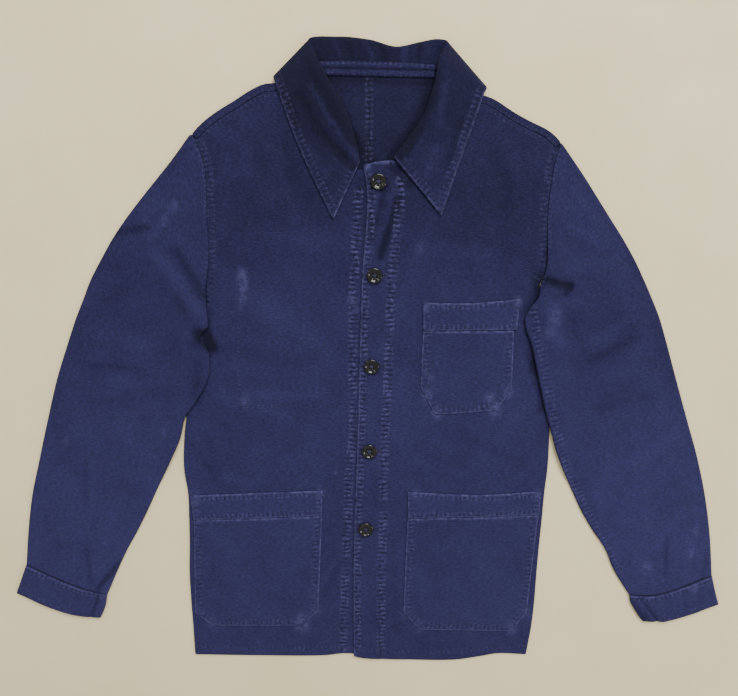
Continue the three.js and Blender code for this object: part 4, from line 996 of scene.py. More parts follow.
def cloth_material(name, sizes, groups, tone=1.0):
    """Indigo cotton: mottled dye, faded stretches, painted shade and light, pale seams with painted
    shade in their hollows, and a twill surface.
    """
    weave, ripples = groups
    made, w, shader = new_material(name)
    shader.inputs["Sheen Weight"].default_value = 0.04
    shader.inputs["Sheen Roughness"].default_value = 0.55
    shader.inputs["Specular IOR Level"].default_value = 0.16
    spot = w.node("ShaderNodeTexCoord").outputs["Object"]
    cut = w.node("ShaderNodeUVMap", uv_map="cut").outputs[0]
    seam = w.node("ShaderNodeAttribute", attribute_name="seam").outputs["Vector"]
    wear = w.node("ShaderNodeAttribute", attribute_name="wear").outputs["Fac"]
    fade_and_shade = w.node("ShaderNodeAttribute", attribute_name="fade_and_shade").outputs["Fac"]
    twill = w.node("ShaderNodeGroup", node_tree=weave)
    w.join(cut, twill.inputs["Cut"])
    twill.inputs["Ribs"].default_value = sizes.ribs
    sewn_parts = w.node("ShaderNodeGroup", node_tree=ripples)
    w.join(seam, sewn_parts.inputs["Seam"])
    colour, hollow_shade_colour = mottled_dye(w, spot, fade_and_shade, sizes, tone)
    pale = list(sizes.worn_colour) + [1.0]
    dots = w.span(w.noise(spot, 120, 4, 0.7), 0.60, 0.80)
    colour = w.blend(w.times(dots, 0.16), colour, pale)
    stretch = w.node("ShaderNodeMapping")
    w.join(cut, stretch.inputs[0])
    stretch.inputs["Scale"].default_value = (210, 620, 1)
    slub = w.noise(stretch.outputs[0], 1.0, 2, 0.6)
    grain = w.times(w.span(twill.outputs["Grain"], 0.30, 0.72, 0.84, 1.16),
                    w.span(slub, 0.28, 0.72, 0.76, 1.24))
    colour = w.blend(1.0, colour, grain, "MULTIPLY")
    # Painted shade: where the tone runs low, beside the sleeves, in folds and under the collar, the
    # colour is darkened further.
    colour = w.blend(1.0, colour, w.span(fade_and_shade, -0.62, -0.24, 0.62, 1.0), "MULTIPLY")
    # Painted shade in the hollows between the seams' puckers.
    colour = w.blend(w.times(sewn_parts.outputs["Hollow shade"], 0.78), colour, hollow_shade_colour)
    broken = w.span(w.noise(spot, 190, 4, 0.75), 0.38, 0.62, 0.12, 1.0)
    edges = w.times(w.times(wear, broken), 0.80)
    pale_part = w.math("MAXIMUM", w.times(sewn_parts.outputs["Crest"], 0.62), edges)
    w.join(w.blend(pale_part, colour, pale), shader.inputs["Base Color"])
    w.join(w.span(twill.outputs["Grain"], 0.3, 0.7, 0.80, 0.92), shader.inputs["Roughness"])
    wrinkle = w.plus(w.times(w.noise(spot, 55, 3, 0.5), 2.0),
                     w.times(sewn_parts.outputs["Height"], 0.5))
    soft = w.bump(wrinkle, 0.6, 0.0009)
    w.join(w.bump(twill.outputs["Height"], 0.55, 0.00022, soft), shader.inputs["Normal"])
    return made


def thread_material(sizes):
    """Waxed cotton thread, faded with the cloth."""
    made, w, shader = new_material("sewing_thread")
    spot = w.node("ShaderNodeTexCoord").outputs["Object"]
    pale = w.span(w.noise(spot, 70, 3, 0.6), 0.36, 0.64)
    deep = [c * 1.6 for c in sizes.deep_colour] + [1.0]
    w.join(w.blend(pale, deep, list(sizes.thread_colour) + [1.0]), shader.inputs["Base Color"])
    w.join(w.span(pale, 0.0, 1.0, 0.62, 0.8), shader.inputs["Roughness"])
    w.join(w.bump(w.noise(spot, 2500, 1), 0.4, 0.0001), shader.inputs["Normal"])
    return made


def horn_material(sizes):
    """Polished dark horn with brown clouds and fine scratches."""
    made, w, shader = new_material("dark_horn")
    shader.inputs["Coat Weight"].default_value = 0.6
    shader.inputs["Coat Roughness"].default_value = 0.06
    shader.inputs["Specular IOR Level"].default_value = 0.25
    spot = w.node("ShaderNodeTexCoord").outputs["Object"]
    clouds = w.span(w.noise(spot, 140, 4, 0.6), 0.42, 0.72)
    dark = list(sizes.button_colour) + [1.0]
    brown = [c * 2.6 for c in sizes.button_colour[:2]] + [sizes.button_colour[2] * 2.0, 1.0]
    w.join(w.blend(clouds, dark, brown), shader.inputs["Base Color"])
    scratch = w.noise(spot, 900, 3, 0.7)
    w.join(w.span(scratch, 0.35, 0.75, 0.10, 0.24), shader.inputs["Roughness"])
    w.join(w.bump(scratch, 0.25, 0.0002), shader.inputs["Normal"])
    return made


MATERIALS = {}


def material(name):
    """The named material, made the first time that it is asked for."""
    if name not in MATERIALS:
        sizes = bpy.context.scene.work_jacket
        if "groups" not in MATERIALS:
            MATERIALS["groups"] = (weave_group(), seam_group())
        if name == "thread":
            MATERIALS[name] = thread_material(sizes)
        elif name == "horn":
            MATERIALS[name] = horn_material(sizes)
        else:
            tone = {"indigo": 1.0, "indigo_inside": 0.76}[name]
            MATERIALS[name] = cloth_material(name, sizes, MATERIALS["groups"], tone)
    return MATERIALS[name]


def as_cloth(node):
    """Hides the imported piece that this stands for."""
    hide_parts(node)


def as_cut(node):
    """Hides the imported piece, as as_cloth does."""
    as_cloth(node)


# Pieces


def back_panels():
    """Two halves of the back, each with the strip that comes over the shoulder."""
    for side, name, shoulder, armhole, flank, neck in (
            (-1, "back_panel_right", shoulder_right, armhole_right, side_right, (9, 6)),
            (1, "back_panel_left", shoulder_left, armhole_left, side_left, (9, 13))):
        outline = np.vstack([neck_edge(*neck), shoulder[1:], armhole[1:], flank[1:-1],
                             [(flank[-1][0] - side * 0.2, BACK_HEM), (side * BACK_GAP, BACK_HEM)]])
        outline[:, 0] = side * np.maximum(BACK_GAP, side * outline[:, 0])
        sheet = cloth_sheet(name, outline, back_bottom, CLOTH, material("indigo_inside"),
                            BACK_SEAMS, grid=5.0, tone=back_tone, pale=NO_PALE_EDGE,
                            both_sides=True)
        as_cut(name)
        edge = moved(shoulder, -side * SHOULDER_STRIP)
        near_neck = abs(edge[0][0]) + 2
        edge = edge[np.abs(edge[:, 0]) > near_neck]
        corner = (-73.8, 303.6) if side < 0 else (101.6, 300.6)
        strip = np.vstack([shoulder, edge[::-1], [corner]])
        seam = Seam(moved(shoulder, -side * 6.3), rows=(0,), wide=2.4, wear=.3, pucker=.5)
        top = cloth_sheet(name + "_yoke", strip, front_bottom, CLOTH, material("indigo"),
                          [seam], grid=2.6, pale=NO_PALE_EDGE)
        as_cut(name)
        sew("shoulder", [seam], front_top)


def front_panels():
    """The under front with its inside pocket, and the top front."""
    pocket = cloth_sheet("inside_pocket", INSIDE_POCKET, lambda p: back_top(p) + GAP,
                         POCKET_CLOTH, material("indigo_inside"), grid=6.0)
    as_cut("inside_pocket")

    def turned_hem(p, depth):
        return 0.28 * (1 - ease(10.5, 13.5, p[:, 1] - HEM_LEVEL)) * ease(0, 2, depth)

    under = cloth_sheet("front_right", front_right_outline, front_bottom, CLOTH,
                        material("indigo"), UNDER_SEAMS, shape_top=turned_hem,
                        pale=neck_edge(0, 5))
    as_cut("front_right")
    top = cloth_sheet("front_left", front_left_outline, top_bottom, top_cloth,
                      material("indigo"), TOP_SEAMS, shape_top=turned_hem,
                      pale=np.vstack([top_neck, front_edge]))
    as_cut("front_left")
    sew("front_right", UNDER_SEAMS, lambda p: front_top(p) + 0.1, front_right_outline)
    sew("front_left", TOP_SEAMS, lambda p: top_top(p) + 0.1, front_left_outline)
    sew("back", BACK_SEAMS, lambda p: back_top(p) + 0.1)


def patch_pocket(bag_name, band_name, bag, band, lies_on):
    """One pocket bag and the band along its mouth."""
    bag, band = np.asarray(bag, float), np.asarray(band, float)

    def bag_bottom(p):
        return lies_on(p) + GAP + 0.5 * ease(0, 60, depth_inside(p, bag))

    def band_bottom(p):
        return lies_on(p) + GAP

    def puckered(p, depth):
        wave = np.sin(p[:, 0] / 1.5 + 2.3 * np.sin(p[:, 0] / 13)) * ease(2, 6, depth)
        return 0.13 * wave + 0.35 * ease(0.5, 4, depth)

    sides = resampled(bag if signed_area(bag) > 0 else bag[::-1], 2.0)
    bag_seam = Seam(sides, rows=(2.4, 8.6), wide=5.0, wear=.5, pucker=.8)
    rim = resampled(closed(band), 2.0)
    band_seam = Seam(rim if signed_area(rim) > 0 else rim[::-1], rows=(4.2,), wide=4.0,
                     wear=.6, pucker=.8)
    made = cloth_sheet(bag_name, bag, bag_bottom, CLOTH, material("indigo"), [bag_seam],
                       grid=3.0, fade_and_shade=.05)
    as_cut(bag_name)
    made = cloth_sheet(band_name, band, band_bottom, BAND_CLOTH, material("indigo"),
                       [band_seam], grid=2.0, fade_and_shade=.08, shape_top=puckered)
    as_cut(band_name)
    sew(bag_name, [bag_seam], lambda p: bag_bottom(p) + CLOTH + 0.1)
    sew(band_name, [band_seam], lambda p: band_bottom(p) + BAND_CLOTH + 0.1)


def along_line(line, u):
    """Places on a line at shares of its length."""
    line = np.asarray(line, float)
    lengths = np.r_[0, np.cumsum(np.linalg.norm(np.diff(line, axis=0), axis=1))]
    at = np.clip(u, 0, 1) * lengths[-1]
    return np.stack([np.interp(at, lengths, line[:, k]) for k in (0, 1)], -1)


def facing_out(points, faces):
    """The faces, all turned over when they look into the solid."""
    corners = points[np.asarray(faces)]
    a, b, c, d = (corners[:, i] for i in range(4))
    volume = np.sum(a * (np.cross(b, c) + np.cross(c, d)))
    return [face[::-1] for face in faces] if volume < 0 else faces


def tube_faces(rows, around):
    """Faces of two walls, one within the other, joined at both ends."""
    faces = []
    for wall in (0, 1):
        for r in range(rows - 1):
            a = (wall * rows + r) * around
            b = a + around
            for i in range(around):
                j = (i + 1) % around
                quad = [a + i, a + j, b + j, b + i]
                faces.append(quad if wall == 0 else quad[::-1])
    last = (rows - 1) * around
    shift = rows * around
    for i in range(around):
        j = (i + 1) % around
        faces.append([j, i, shift + i, shift + j])
        faces.append([last + i, last + j, last + shift + j, last + shift + i])
    return faces


def flat_tube(name, rings, place, low, full, cloth, folds, seams, across=58, fade_and_shade=0.0,
              rim=0.0):
    """A tube of cloth pressed flat: rings of points, an outer wall and an inner one."""
    u_top = np.r_[0.0, 0.006, 0.018, np.linspace(0.04, 0.96, across), 0.982, 0.994, 1.0]
    u_low = np.linspace(0.97, 0.03, across // 3)
    walls, shown, cuts = [], [], []
    for wall in (0, 1):
        for ring in rings:
            ends = np.array([ring["o"], ring["i"]])
            length = np.linalg.norm(ends[0] - ends[1])
            inset = wall * cloth * 1.12 / length
            edge_height = 2 * cloth + 0.5
            upper = place(ring, mix(inset, 1 - inset, u_top))
            to_edge = np.minimum(u_top, 1 - u_top) * length
            puff = (full(ring) - edge_height) * ease(0, 34, to_edge)
            rise = edge_height + puff + folds(upper) * ease(2, 22, to_edge)
            floor = low(upper)
            half = edge_height / 2
            turn = np.sqrt(1 - (1 - np.clip(to_edge / half, 0, 1)) ** 2)
            top = floor + half + (rise - half - wall * cloth) * turn
            under = place(ring, mix(inset, 1 - inset, u_low))
            low_z = low(under) + wall * cloth
            loop = np.vstack([np.column_stack([upper, top]), np.column_stack([under, low_z])])
            walls.append(loop)
            shown.append(np.r_[np.ones(len(u_top)), np.zeros(len(u_low))] * (1 - wall))
            cuts.append(np.column_stack([np.r_[u_top, 1 + u_low] * length,
                                         np.full(len(loop), ring["s"])]))
    around = len(walls[0])
    rows = len(rings)
    points = np.vstack(walls)
    shown = np.concatenate(shown)
    relief, seam = sewn(points[:, :2], seams)
    seam[:, 2] *= shown
    points[:, 2] += relief * shown
    faces = facing_out(points, tube_faces(rows, around))
    worn_rim = np.zeros(rows)
    worn_rim[1:3] = rim
    worn = np.maximum(np.tile(np.repeat(worn_rim, around), 2), rubbed(points)) * shown
    # The sleeve tone holds painted shade and painted light as well as fading.
    return make_object(name, points, faces, material("indigo"),
                       {"seam": seam, "wear": worn,
                        "fade_and_shade": fade_and_shade + sleeve_tone(points)}, np.vstack(cuts))


def looked_up(table, value, at):
    """One column of a table, read between the rows of its first column."""
    return column([row[0] for row in table], [row[value] for row in table], at)


def sleeve_rings(outer, inner, spread, seam_line):
    """Both ends of each ring from the armhole down, and the way along the middle."""
    t = np.unique(np.r_[0, .0008, .002, .004, np.linspace(.007, 0.2, 44),
                        np.linspace(0.2, 1, 190)])
    oy, iy = looked_up(spread, 1, t), looked_up(spread, 2, t)
    ox, ix = looked_up(outer, 1, oy), looked_up(inner, 1, iy)
    rings = [{"o": (a, b), "i": (c, d), "t": s} for a, b, c, d, s in zip(ox, oy, ix, iy, t)]
    rings[0]["o"], rings[0]["i"] = tuple(seam_line[0]), tuple(seam_line[-1])
    walked = 0.0
    for before, ring in zip([rings[0]] + rings, rings):
        middle = (np.array(ring["o"]) + ring["i"]) / 2
        walked += np.linalg.norm(middle - (np.array(before["o"]) + before["i"]) / 2)
        ring["s"] = walked
    return rings, walked


def sleeves():
    """Both sleeves, from the armhole to the cuff seam."""
    for side, name, outer, inner, spread, armhole, armpit, folds, creases, bow, shape in (
            (1, "sleeve_right", RIGHT_OUTER, RIGHT_INNER, RIGHT_SPREAD, ARMHOLE_RIGHT, 54,
             RIGHT_SLEEVE_FOLDS, RIGHT_SLEEVE_CREASES, 4.0, 1.25),
            (-1, "sleeve_left", LEFT_OUTER, LEFT_INNER, LEFT_SPREAD, ARMHOLE_LEFT, 78,
             LEFT_SLEEVE_FOLDS, LEFT_SLEEVE_CREASES, 8.5, 1.4)):
        seam_line = moved(smooth_line(armhole, 3), -side * SLEEVE_SET)
        rings, walked = sleeve_rings(outer, inner, spread, seam_line)

        def place(ring, u, seam_line=seam_line, bow=bow, shape=shape):
            held = 1 - ease(0, 0.22, ring["t"])
            curve = along_line(seam_line, u)
            chord = mix(seam_line[0], seam_line[-1], np.asarray(u)[:, None])
            o, i = np.array(ring["o"]), np.array(ring["i"])
            at = mix(o, i, np.asarray(u)[:, None]) + (curve - chord) * held
            at[:, 1] -= ease(0.82, 1, ring["t"]) * bow * np.sin(np.pi * np.asarray(u) ** shape)
            return at

        def low(p, armpit=armpit):
            near = 1 - ease(12, 34, depth_outside(p, body_outline))
            return ARMPIT_LIFT * near * (1 - ease(armpit + 34, armpit + 66, p[:, 1]))

        def full(ring):
            return (2 * SLEEVE_CLOTH + 0.8 + (SLEEVE_AIR - 0.8) * ease(0, 0.12, ring["t"])
                    * (1 - 0.5 * ease(0.9, 1, ring["t"])))

        def shape_folds(p, folds=folds, creases=creases):
            ripple = 0.22 * np.sin(p[:, 0] / 19 + np.sin(p[:, 1] / 31)) * np.sin(
                p[:, 1] / 24 + 1.5)
            return fold_height(folds, p) + fold_height(creases, p) + ripple

        seams = sleeve_seams(side)
        piece = flat_tube(name, rings, place, low, full, SLEEVE_CLOTH, shape_folds, seams)
        as_cloth(name)


def sleeve_seams(side):
    """The armhole seam, and on the left sleeve the underarm seam that shows."""
    if side > 0:
        return [Seam(moved(armhole_right, -1.6), rows=(0,), wide=1.8, wear=.35, pucker=.4,
                     stitch=False)]
    underarm = smooth_line([(201, 50), (206, 22), (214, -4), (232.5, -84), (252, -148),
                            (270, -187), (292, -230), (313, -269), (329, -294)])
    return [
        Seam(moved(armhole_left, 1.6), rows=(0,), wide=1.8, wear=.35, pucker=.4,
             stitch=False),
        Seam(moved(underarm, -3.5), rows=(-4, 3.6), wide=5.2, wear=.6, pucker=1.4),
    ]


def cuffs():
    """Cuffs, each a short double tube with a stitched edge all round."""
    for name, table, shape, rests in (
            ("cuff_right", RIGHT_CUFF, 1.25, "sleeve_right"),
            ("cuff_left", LEFT_CUFF, 1.4, "sleeve_left")):
        t = np.linspace(0, 4, 34)
        ox, oy, ix, iy, bow = [column(range(5), [row[c] for row in table], t)
                               for c in range(5)]
        rings = [{"o": (a, b), "i": (c, d), "bow": e, "s": f * 10.5, "t": f / 4}
                 for a, b, c, d, e, f in zip(ox, oy, ix, iy, bow, t)]

        def place(ring, u, shape=shape):
            u = np.asarray(u)
            at = mix(np.array(ring["o"]), np.array(ring["i"]), u[:, None])
            at[:, 1] -= ring["bow"] * np.sin(np.pi * u**shape)
            return at

        u = np.linspace(0.02, 0.98, 40)
        seam = Seam(place(rings[3], u), rows=(0.0,), wide=3.4, wear=.8, pucker=.8)
        foot = Seam(place(rings[-4], u), rows=(0.0,), wide=3.0, wear=.35, pucker=.9)

        def crinkles(p):
            ripple = np.sin(p[:, 0] / 7 + np.sin(p[:, 1] / 9)) * np.sin(p[:, 1] / 8)
            return 0.3 * ripple + fold_height(CUFF_CREASES, p)

        piece = flat_tube(name, rings, place, lambda p: np.zeros(len(p)),
                          lambda ring: 2 * CUFF_CLOTH + CUFF_AIR, CUFF_CLOTH, crinkles,
                          [seam, foot], across=60, fade_and_shade=-.08, rim=.75)
        as_cloth(name)
        top = 2 * CUFF_CLOTH + CUFF_AIR
        sew(name, [seam, foot], lambda p: np.full(len(p), top + 0.1))


def collar_surface(k_values):
    """Middle surface of the collar, a row of points for each section."""
    rows, tags = [], []
    last = len(COLLAR) - 1
    for k in k_values:
        fx, fy, fz, lx, ly, sx, sy, over = (float(v) for v in collar_at(k))
        fold, leaf, seam = np.array([fx, fy]), np.array([lx, ly]), np.array([sx, sy])
        half = mix(1.8, 2.1, float(ease(0, 6, min(k, last - k))))
        leaf_way = (leaf - fold) / np.linalg.norm(leaf - fold)
        seam_way = (seam - fold) / np.linalg.norm(seam - fold)
        cloth = front_top if k < last / 2 else top_top
        beneath = front_bottom if k < last / 2 else top_bottom

        def resting(p):
            return cloth(np.atleast_2d(p)) + LEAF_RISE

        if over > 0:
            leaf_end = mix(TURN_HEIGHT, float(resting(leaf)[0]), float(ease(0, 0.8, over)))
            seam_end = mix(TURN_HEIGHT, float(beneath(seam[None])[0]) + CLOTH / 2 + GAP, over)
        else:
            leaf_end = mix(TURN_HEIGHT, COLLAR_CLOTH / 2, -over)
            seam_end = mix(TURN_HEIGHT, UNDER_LEAF + CLOTH, -over)
        lift = (1 - abs(over)) * 1.2
        roll_leaf, roll_stand = fz + over * half - lift, fz - over * half - lift
        leaf_deep = mix(STAND_ROLL, ROLL_DEPTH, max(0.0, over))
        half_up = mix(half, ROLL_RISE, max(0.0, over))
        roll_leaf += half_up * max(0.0, over) - half * max(0.0, over)
        leaf_root, seam_root = fold + leaf_way * leaf_deep, fold + seam_way * STAND_ROLL
        t = np.linspace(0, 1, LEAF_STEPS, endpoint=False)
        plan = mix(leaf, leaf_root, t[:, None])
        z = mix(leaf_end, roll_leaf, t**3 if over < -0.4 else t**1.4)
        z = z + fold_height(COLLAR_CREASES, plan) * ease(0.02, 0.2, t) * max(0.0, over)
        if over > 0.55:
            z = np.maximum(z, resting(plan) - 0.2)
        part = [np.column_stack([plan, z])]
        angles = np.radians(np.linspace(90, -90, ROLL_STEPS))
        out = np.where(angles > 0, leaf_deep, STAND_ROLL) * (1 - np.cos(angles))
        way = np.where(angles[:, None] > 0, leaf_way, seam_way)
        tall = np.where(angles > 0, half_up, half)
        z = fz + over * tall * np.sin(angles) - lift * (1 - np.cos(angles))
        part.append(np.column_stack([fold + way * out[:, None], z]))
        t = np.linspace(0, 1, STAND_STEPS + 1)[1:]
        stand = mix(seam_root, seam, t[:, None])
        z = mix(roll_stand, seam_end, t)
        z = z + fold_height(COLLAR_CREASES, stand) * np.sin(np.pi * t) * max(0.0, -over)
        part.append(np.column_stack([stand, z]))
        rows.append(np.vstack(part))
        tags.append(over)
    return np.array(rows), np.array(tags)


def surface_normals(rows):
    """Directions of length one, square to a surface given as rows of points."""
    du = np.gradient(rows, axis=0)
    dv = np.gradient(rows, axis=1)
    normals = np.cross(du, dv)
    return normals / np.maximum(np.linalg.norm(normals, axis=2), 1e-9)[..., None]


def collar_seams(rows, over):
    """The stitched edge of the leaf, one seam for each side of the neck."""
    right = np.vstack([rows[0, :LEAF_STEPS, :2][::-1], rows[:int((over > 0).argmin()), 0, :2]])
    start = len(over) - int((over[::-1] > 0).argmin())
    left = np.vstack([rows[start:, 0, :2], rows[-1, :LEAF_STEPS, :2]])
    seams = []
    for edge, index in ((right, len(over) // 8), (left, -len(over) // 8)):
        on_leaf = rows[index, LEAF_STEPS // 2, :2][None]
        way = 1 if nearest(on_leaf, edge)[0][0] > 0 else -1
        seams.append(Seam(edge, rows=(way * 2.4, way * 9.0), wide=5.0, wear=.42, pucker=.5))
    return seams


def folded_faces(n, m):
    """Faces of an outer and an inner wall of n by m points, joined round the rim."""
    faces = []
    total = n * m
    for r in range(n - 1):
        for c in range(m - 1):
            a = r * m + c
            faces.append([a, a + 1, a + m + 1, a + m])
            faces.append([total + a, total + a + m, total + a + m + 1, total + a + 1])
    rim = list(range(m)) + [r * m + m - 1 for r in range(1, n)]
    rim += [(n - 1) * m + c for c in range(m - 2, -1, -1)]
    rim += [r * m for r in range(n - 2, 0, -1)]
    for a, b in zip(rim, rim[1:] + rim[:1]):
        faces.append([total + a, total + b, b, a])
    return faces


def collar():
    """The fold-over collar: one band, leaf outside and stand inside."""
    last = len(COLLAR) - 1
    k = np.unique(np.r_[np.linspace(0, 5, 96), np.linspace(5, 7, 44), np.linspace(7, 12, 90),
                        np.linspace(12, 14, 44), np.linspace(14, last, 96)])
    rows, over = collar_surface(k)
    n, m = rows.shape[:2]
    plan = rows[..., :2].reshape(-1, 2)
    seams = collar_seams(rows, over)
    shown = ((np.arange(m) < LEAF_STEPS)[None, :] & (over > 0.3)[:, None]).ravel()
    relief, marks = sewn(plan, seams)
    marks[:, 2] *= shown
    relief = (relief * shown).reshape(n, m)
    edge = np.minimum(np.minimum(np.arange(n), np.arange(n)[::-1])[:, None] * 1.4,
                      np.minimum(np.arange(m), np.arange(m)[::-1])[None, :] * 2.0)
    swell = COLLAR_CLOTH / 2 * np.sqrt(1 - (1 - np.clip(edge / 2.0, 0, 1)) ** 2) + 0.05
    normals = surface_normals(rows)
    normals = normals * np.sign(normals[n // 8, LEAF_STEPS // 2, 2])
    outer = rows + normals * (swell + relief)[..., None]
    inner = rows - normals * swell[..., None]
    points = np.vstack([outer.reshape(-1, 3), inner.reshape(-1, 3)])
    along = np.cumsum(np.r_[0, np.linalg.norm(np.diff(rows[:, m // 2], axis=0), axis=1)])
    across = np.cumsum(np.r_[0, np.linalg.norm(np.diff(rows[n // 4], axis=0), axis=1)])
    cut = np.stack(np.meshgrid(along, across, indexing="ij"), -1).reshape(-1, 2)
    wear = (1 - ease(0.5, 3.0, edge)).ravel()
    # The collar tone holds painted shade and painted light as well as fading.
    piece = make_object("collar", points, facing_out(points, folded_faces(n, m)),
                        material("indigo"),
                        {"seam": np.vstack([marks, np.zeros_like(marks)]),
                         "wear": np.r_[wear, wear * 0.3],
                         "fade_and_shade": np.tile(collar_tone(plan), 2)},
                        np.vstack([cut, cut]))
    as_cloth("collar")
    cloud = outer[over > 0.3, :LEAF_STEPS].reshape(-1, 3)

    def height(p):
        return np.array([cloud[((cloud[:, :2] - q) ** 2).sum(1).argmin(), 2] for q in p])

    sew("collar", seams, height)


def neck_strip():
    """The strip over the back neck seam, with two stitched rolls."""
    top, foot = smooth_line(STRIP_TOP, 3), smooth_line(STRIP_FOOT, 3)
    outline = np.vstack([top, foot[::-1]])

    def bottom(p):
        return (back_top(p) + 0.45 + 1.2 * ease(315, 323, p[:, 1])
                + 0.7 * ease(323, 331, p[:, 1]))

    def rolls(p):
        return np.abs(np.sin(np.pi * (p[:, 1] + 0.02 * p[:, 0] - 314) / 8.2)) ** 0.8

    seams = [Seam(moved(line, off), rows=(0,), wide=2.6, wear=.45, pucker=.4)
             for line, off in ((top, -1.6), (foot, 1.6))]
    # The tone paints light on the tops of the rolls and shade in the groove between them, and darkens
    # the strip overall.
    strip = cloth_sheet("neck_strip", outline, bottom, STRIP_CLOTH, material("indigo"), seams,
                        grid=1.3, shape_top=lambda p, depth: 1.8 * rolls(p),
                        tone=lambda p: 0.5 * rolls(p) - 0.55, pale=NO_PALE_EDGE)
    as_cut("neck_strip")
    sew("neck_strip", seams, lambda p: bottom(p) + 1.0)


# Buttons and buttonholes


def button_profile():
    """Radius and height of half a button, from the middle of the back to the dish."""
    return smooth_line([(0, 0), (4, 0), (7.2, 0), (9.0, 0.9), (9.4, 1.8), (9.1, 2.6),
                        (8.3, 3.15), (7.4, 3.1), (6.4, 2.5), (5.2, 2.05), (3.5, 1.9),
                        (0, 1.9)], 0.42)


def hole_depth(px, py):
    """How deep the four holes lie at a place on the dish, from 0 to 1."""
    holes = (-BUTTON_HOLE, BUTTON_HOLE)
    return min(1.0, sum(math.exp(-(((px - hx) ** 2 + (py - hy) ** 2) / 0.8) ** 2)
                        for hx in holes for hy in holes))


def buttons():
    """Dished horn buttons, each sewn through four holes with a cross of thread."""
    profile = button_profile()
    turns = BUTTON_TURNS
    for index, (x, y) in enumerate(BUTTONS):
        around = np.linspace(0, 2 * np.pi, 12, endpoint=False)
        ring = np.column_stack([x + BUTTON_RADIUS * np.cos(around),
                                y + BUTTON_RADIUS * np.sin(around)])
        base = float(top_top(ring).max()) + GAP
        angles = np.linspace(0, 2 * np.pi, turns, endpoint=False) + index
        points = [(x, y, base)]
        for radius, height in profile[1:-1]:
            dip = 0.0
            for a in angles:
                px, py = radius * math.cos(a), radius * math.sin(a)
                if height > 1.5:
                    dip = hole_depth(px, py)
                points.append((x + px, y + py, base + height - 1.3 * dip))
        points.append((x, y, base + 1.9))
        rows = len(profile) - 2
        faces = []
        for i in range(turns):
            j = (i + 1) % turns
            faces.append([0, 1 + j, 1 + i])
            for r in range(rows - 1):
                a = 1 + r * turns
                faces.append([a + i, a + j, a + turns + j, a + turns + i])
            a = 1 + (rows - 1) * turns
            faces.append([a + i, a + j, len(points) - 1])
        name = f"button_{index + 1}"
        piece = make_object(name, points, faces, material("horn"))
        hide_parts(name)
        for way in (-1, 1):
            ends = np.array([(-1, way), (1, -way)]) * BUTTON_HOLE
            bar = resampled(ends, 0.6) + (x, y)
            t = np.linspace(0, 1, len(bar))
            z = base + 1.2 + 1.25 * np.sin(np.pi * t) ** 0.5
            cord_strands(f"thread_{index + 1}_{'a' if way < 0 else 'b'}", bar, z)


def cord_strands(name, plan, z):
    """Three strands of thread side by side, as one piece."""
    points, faces = [], []
    way = plan[-1] - plan[0]
    across = np.array([-way[1], way[0]]) / np.linalg.norm(way)
    for strand in (-1, 0, 1):
        start = len(points)
        for (px, py), pz in zip(plan, z):
            for a in np.linspace(0, 2 * np.pi, 8, endpoint=False):
                off = across * (strand * 0.5 + STRAND_RADIUS * math.cos(a))
                points.append((px + off[0], py + off[1], pz + STRAND_RADIUS * math.sin(a)))
        for r in range(len(plan) - 1):
            for i in range(8):
                j = (i + 1) % 8
                a = start + r * 8
                faces.append([a + i, a + j, a + 8 + j, a + 8 + i])
        faces.append([start + i for i in range(8)][::-1])
        faces.append([start + (len(plan) - 1) * 8 + i for i in range(8)])
    piece = make_object(name, points, faces, material("thread"))


def buttonholes():
    """Worked slits beside the buttons: places for short stitches across each slit."""
    for x, y in BUTTONS:
        xs = np.arange(x - 13, x + 17, 1.0)
        for edge in (-1.1, 1.1):
            line = np.column_stack([xs, np.full(len(xs), y + edge)])
            z = top_top(line) + 0.15
            way = np.tile((0.0, 1.0, 0.0), (len(xs), 1))
            STITCHES.append(("buttonholes", np.column_stack([line, z]), way))


# Stitches, by Geometry Nodes


def stitch_tree(thread):
    """One thread float for every point, turned along the point's own direction."""
    tree = bpy.data.node_groups.new("Stitches", "GeometryNodeTree")
    tree.interface.new_socket("Geometry", in_out="INPUT", socket_type="NodeSocketGeometry")
    for label, value in (("Length", 0.0024), ("Thread", 0.00034)):
        socket = tree.interface.new_socket(label, in_out="INPUT", socket_type="NodeSocketFloat")
        socket.default_value = value
    tree.interface.new_socket("Geometry", in_out="OUTPUT", socket_type="NodeSocketGeometry")
    w = Wiring(tree)
    source, target = w.node("NodeGroupInput"), w.node("NodeGroupOutput")
    ball = w.node("GeometryNodeMeshUVSphere")
    ball.inputs["Segments"].default_value = 5
    ball.inputs["Rings"].default_value = 4
    ball.inputs["Radius"].default_value = 1.0
    scale = w.node("ShaderNodeCombineXYZ")
    w.join(source.outputs["Thread"], scale.inputs[0])
    w.join(source.outputs["Thread"], scale.inputs[1])
    half = w.math("MULTIPLY", source.outputs["Length"], 0.5)
    w.join(half, scale.inputs[2])
    way = w.node("GeometryNodeInputNamedAttribute", data_type="FLOAT_VECTOR")
    way.inputs["Name"].default_value = "way"
    turn = w.node("FunctionNodeAlignRotationToVector", axis="Z")
    w.join(way.outputs["Attribute"], turn.inputs["Vector"])
    put = w.node("GeometryNodeInstanceOnPoints")
    w.join(source.outputs["Geometry"], put.inputs["Points"])
    w.join(ball.outputs["Mesh"], put.inputs["Instance"])
    w.join(turn.outputs["Rotation"], put.inputs["Rotation"])
    w.join(scale.outputs[0], put.inputs["Scale"])
    real = w.node("GeometryNodeRealizeInstances")
    w.join(put.outputs["Instances"], real.inputs[0])
    smooth = w.node("GeometryNodeSetShadeSmooth")
    w.join(real.outputs[0], smooth.inputs[0])
    finish = w.node("GeometryNodeSetMaterial")
    finish.inputs["Material"].default_value = thread
    w.join(smooth.outputs[0], finish.inputs["Geometry"])
    w.join(finish.outputs[0], target.inputs[0])
    return tree


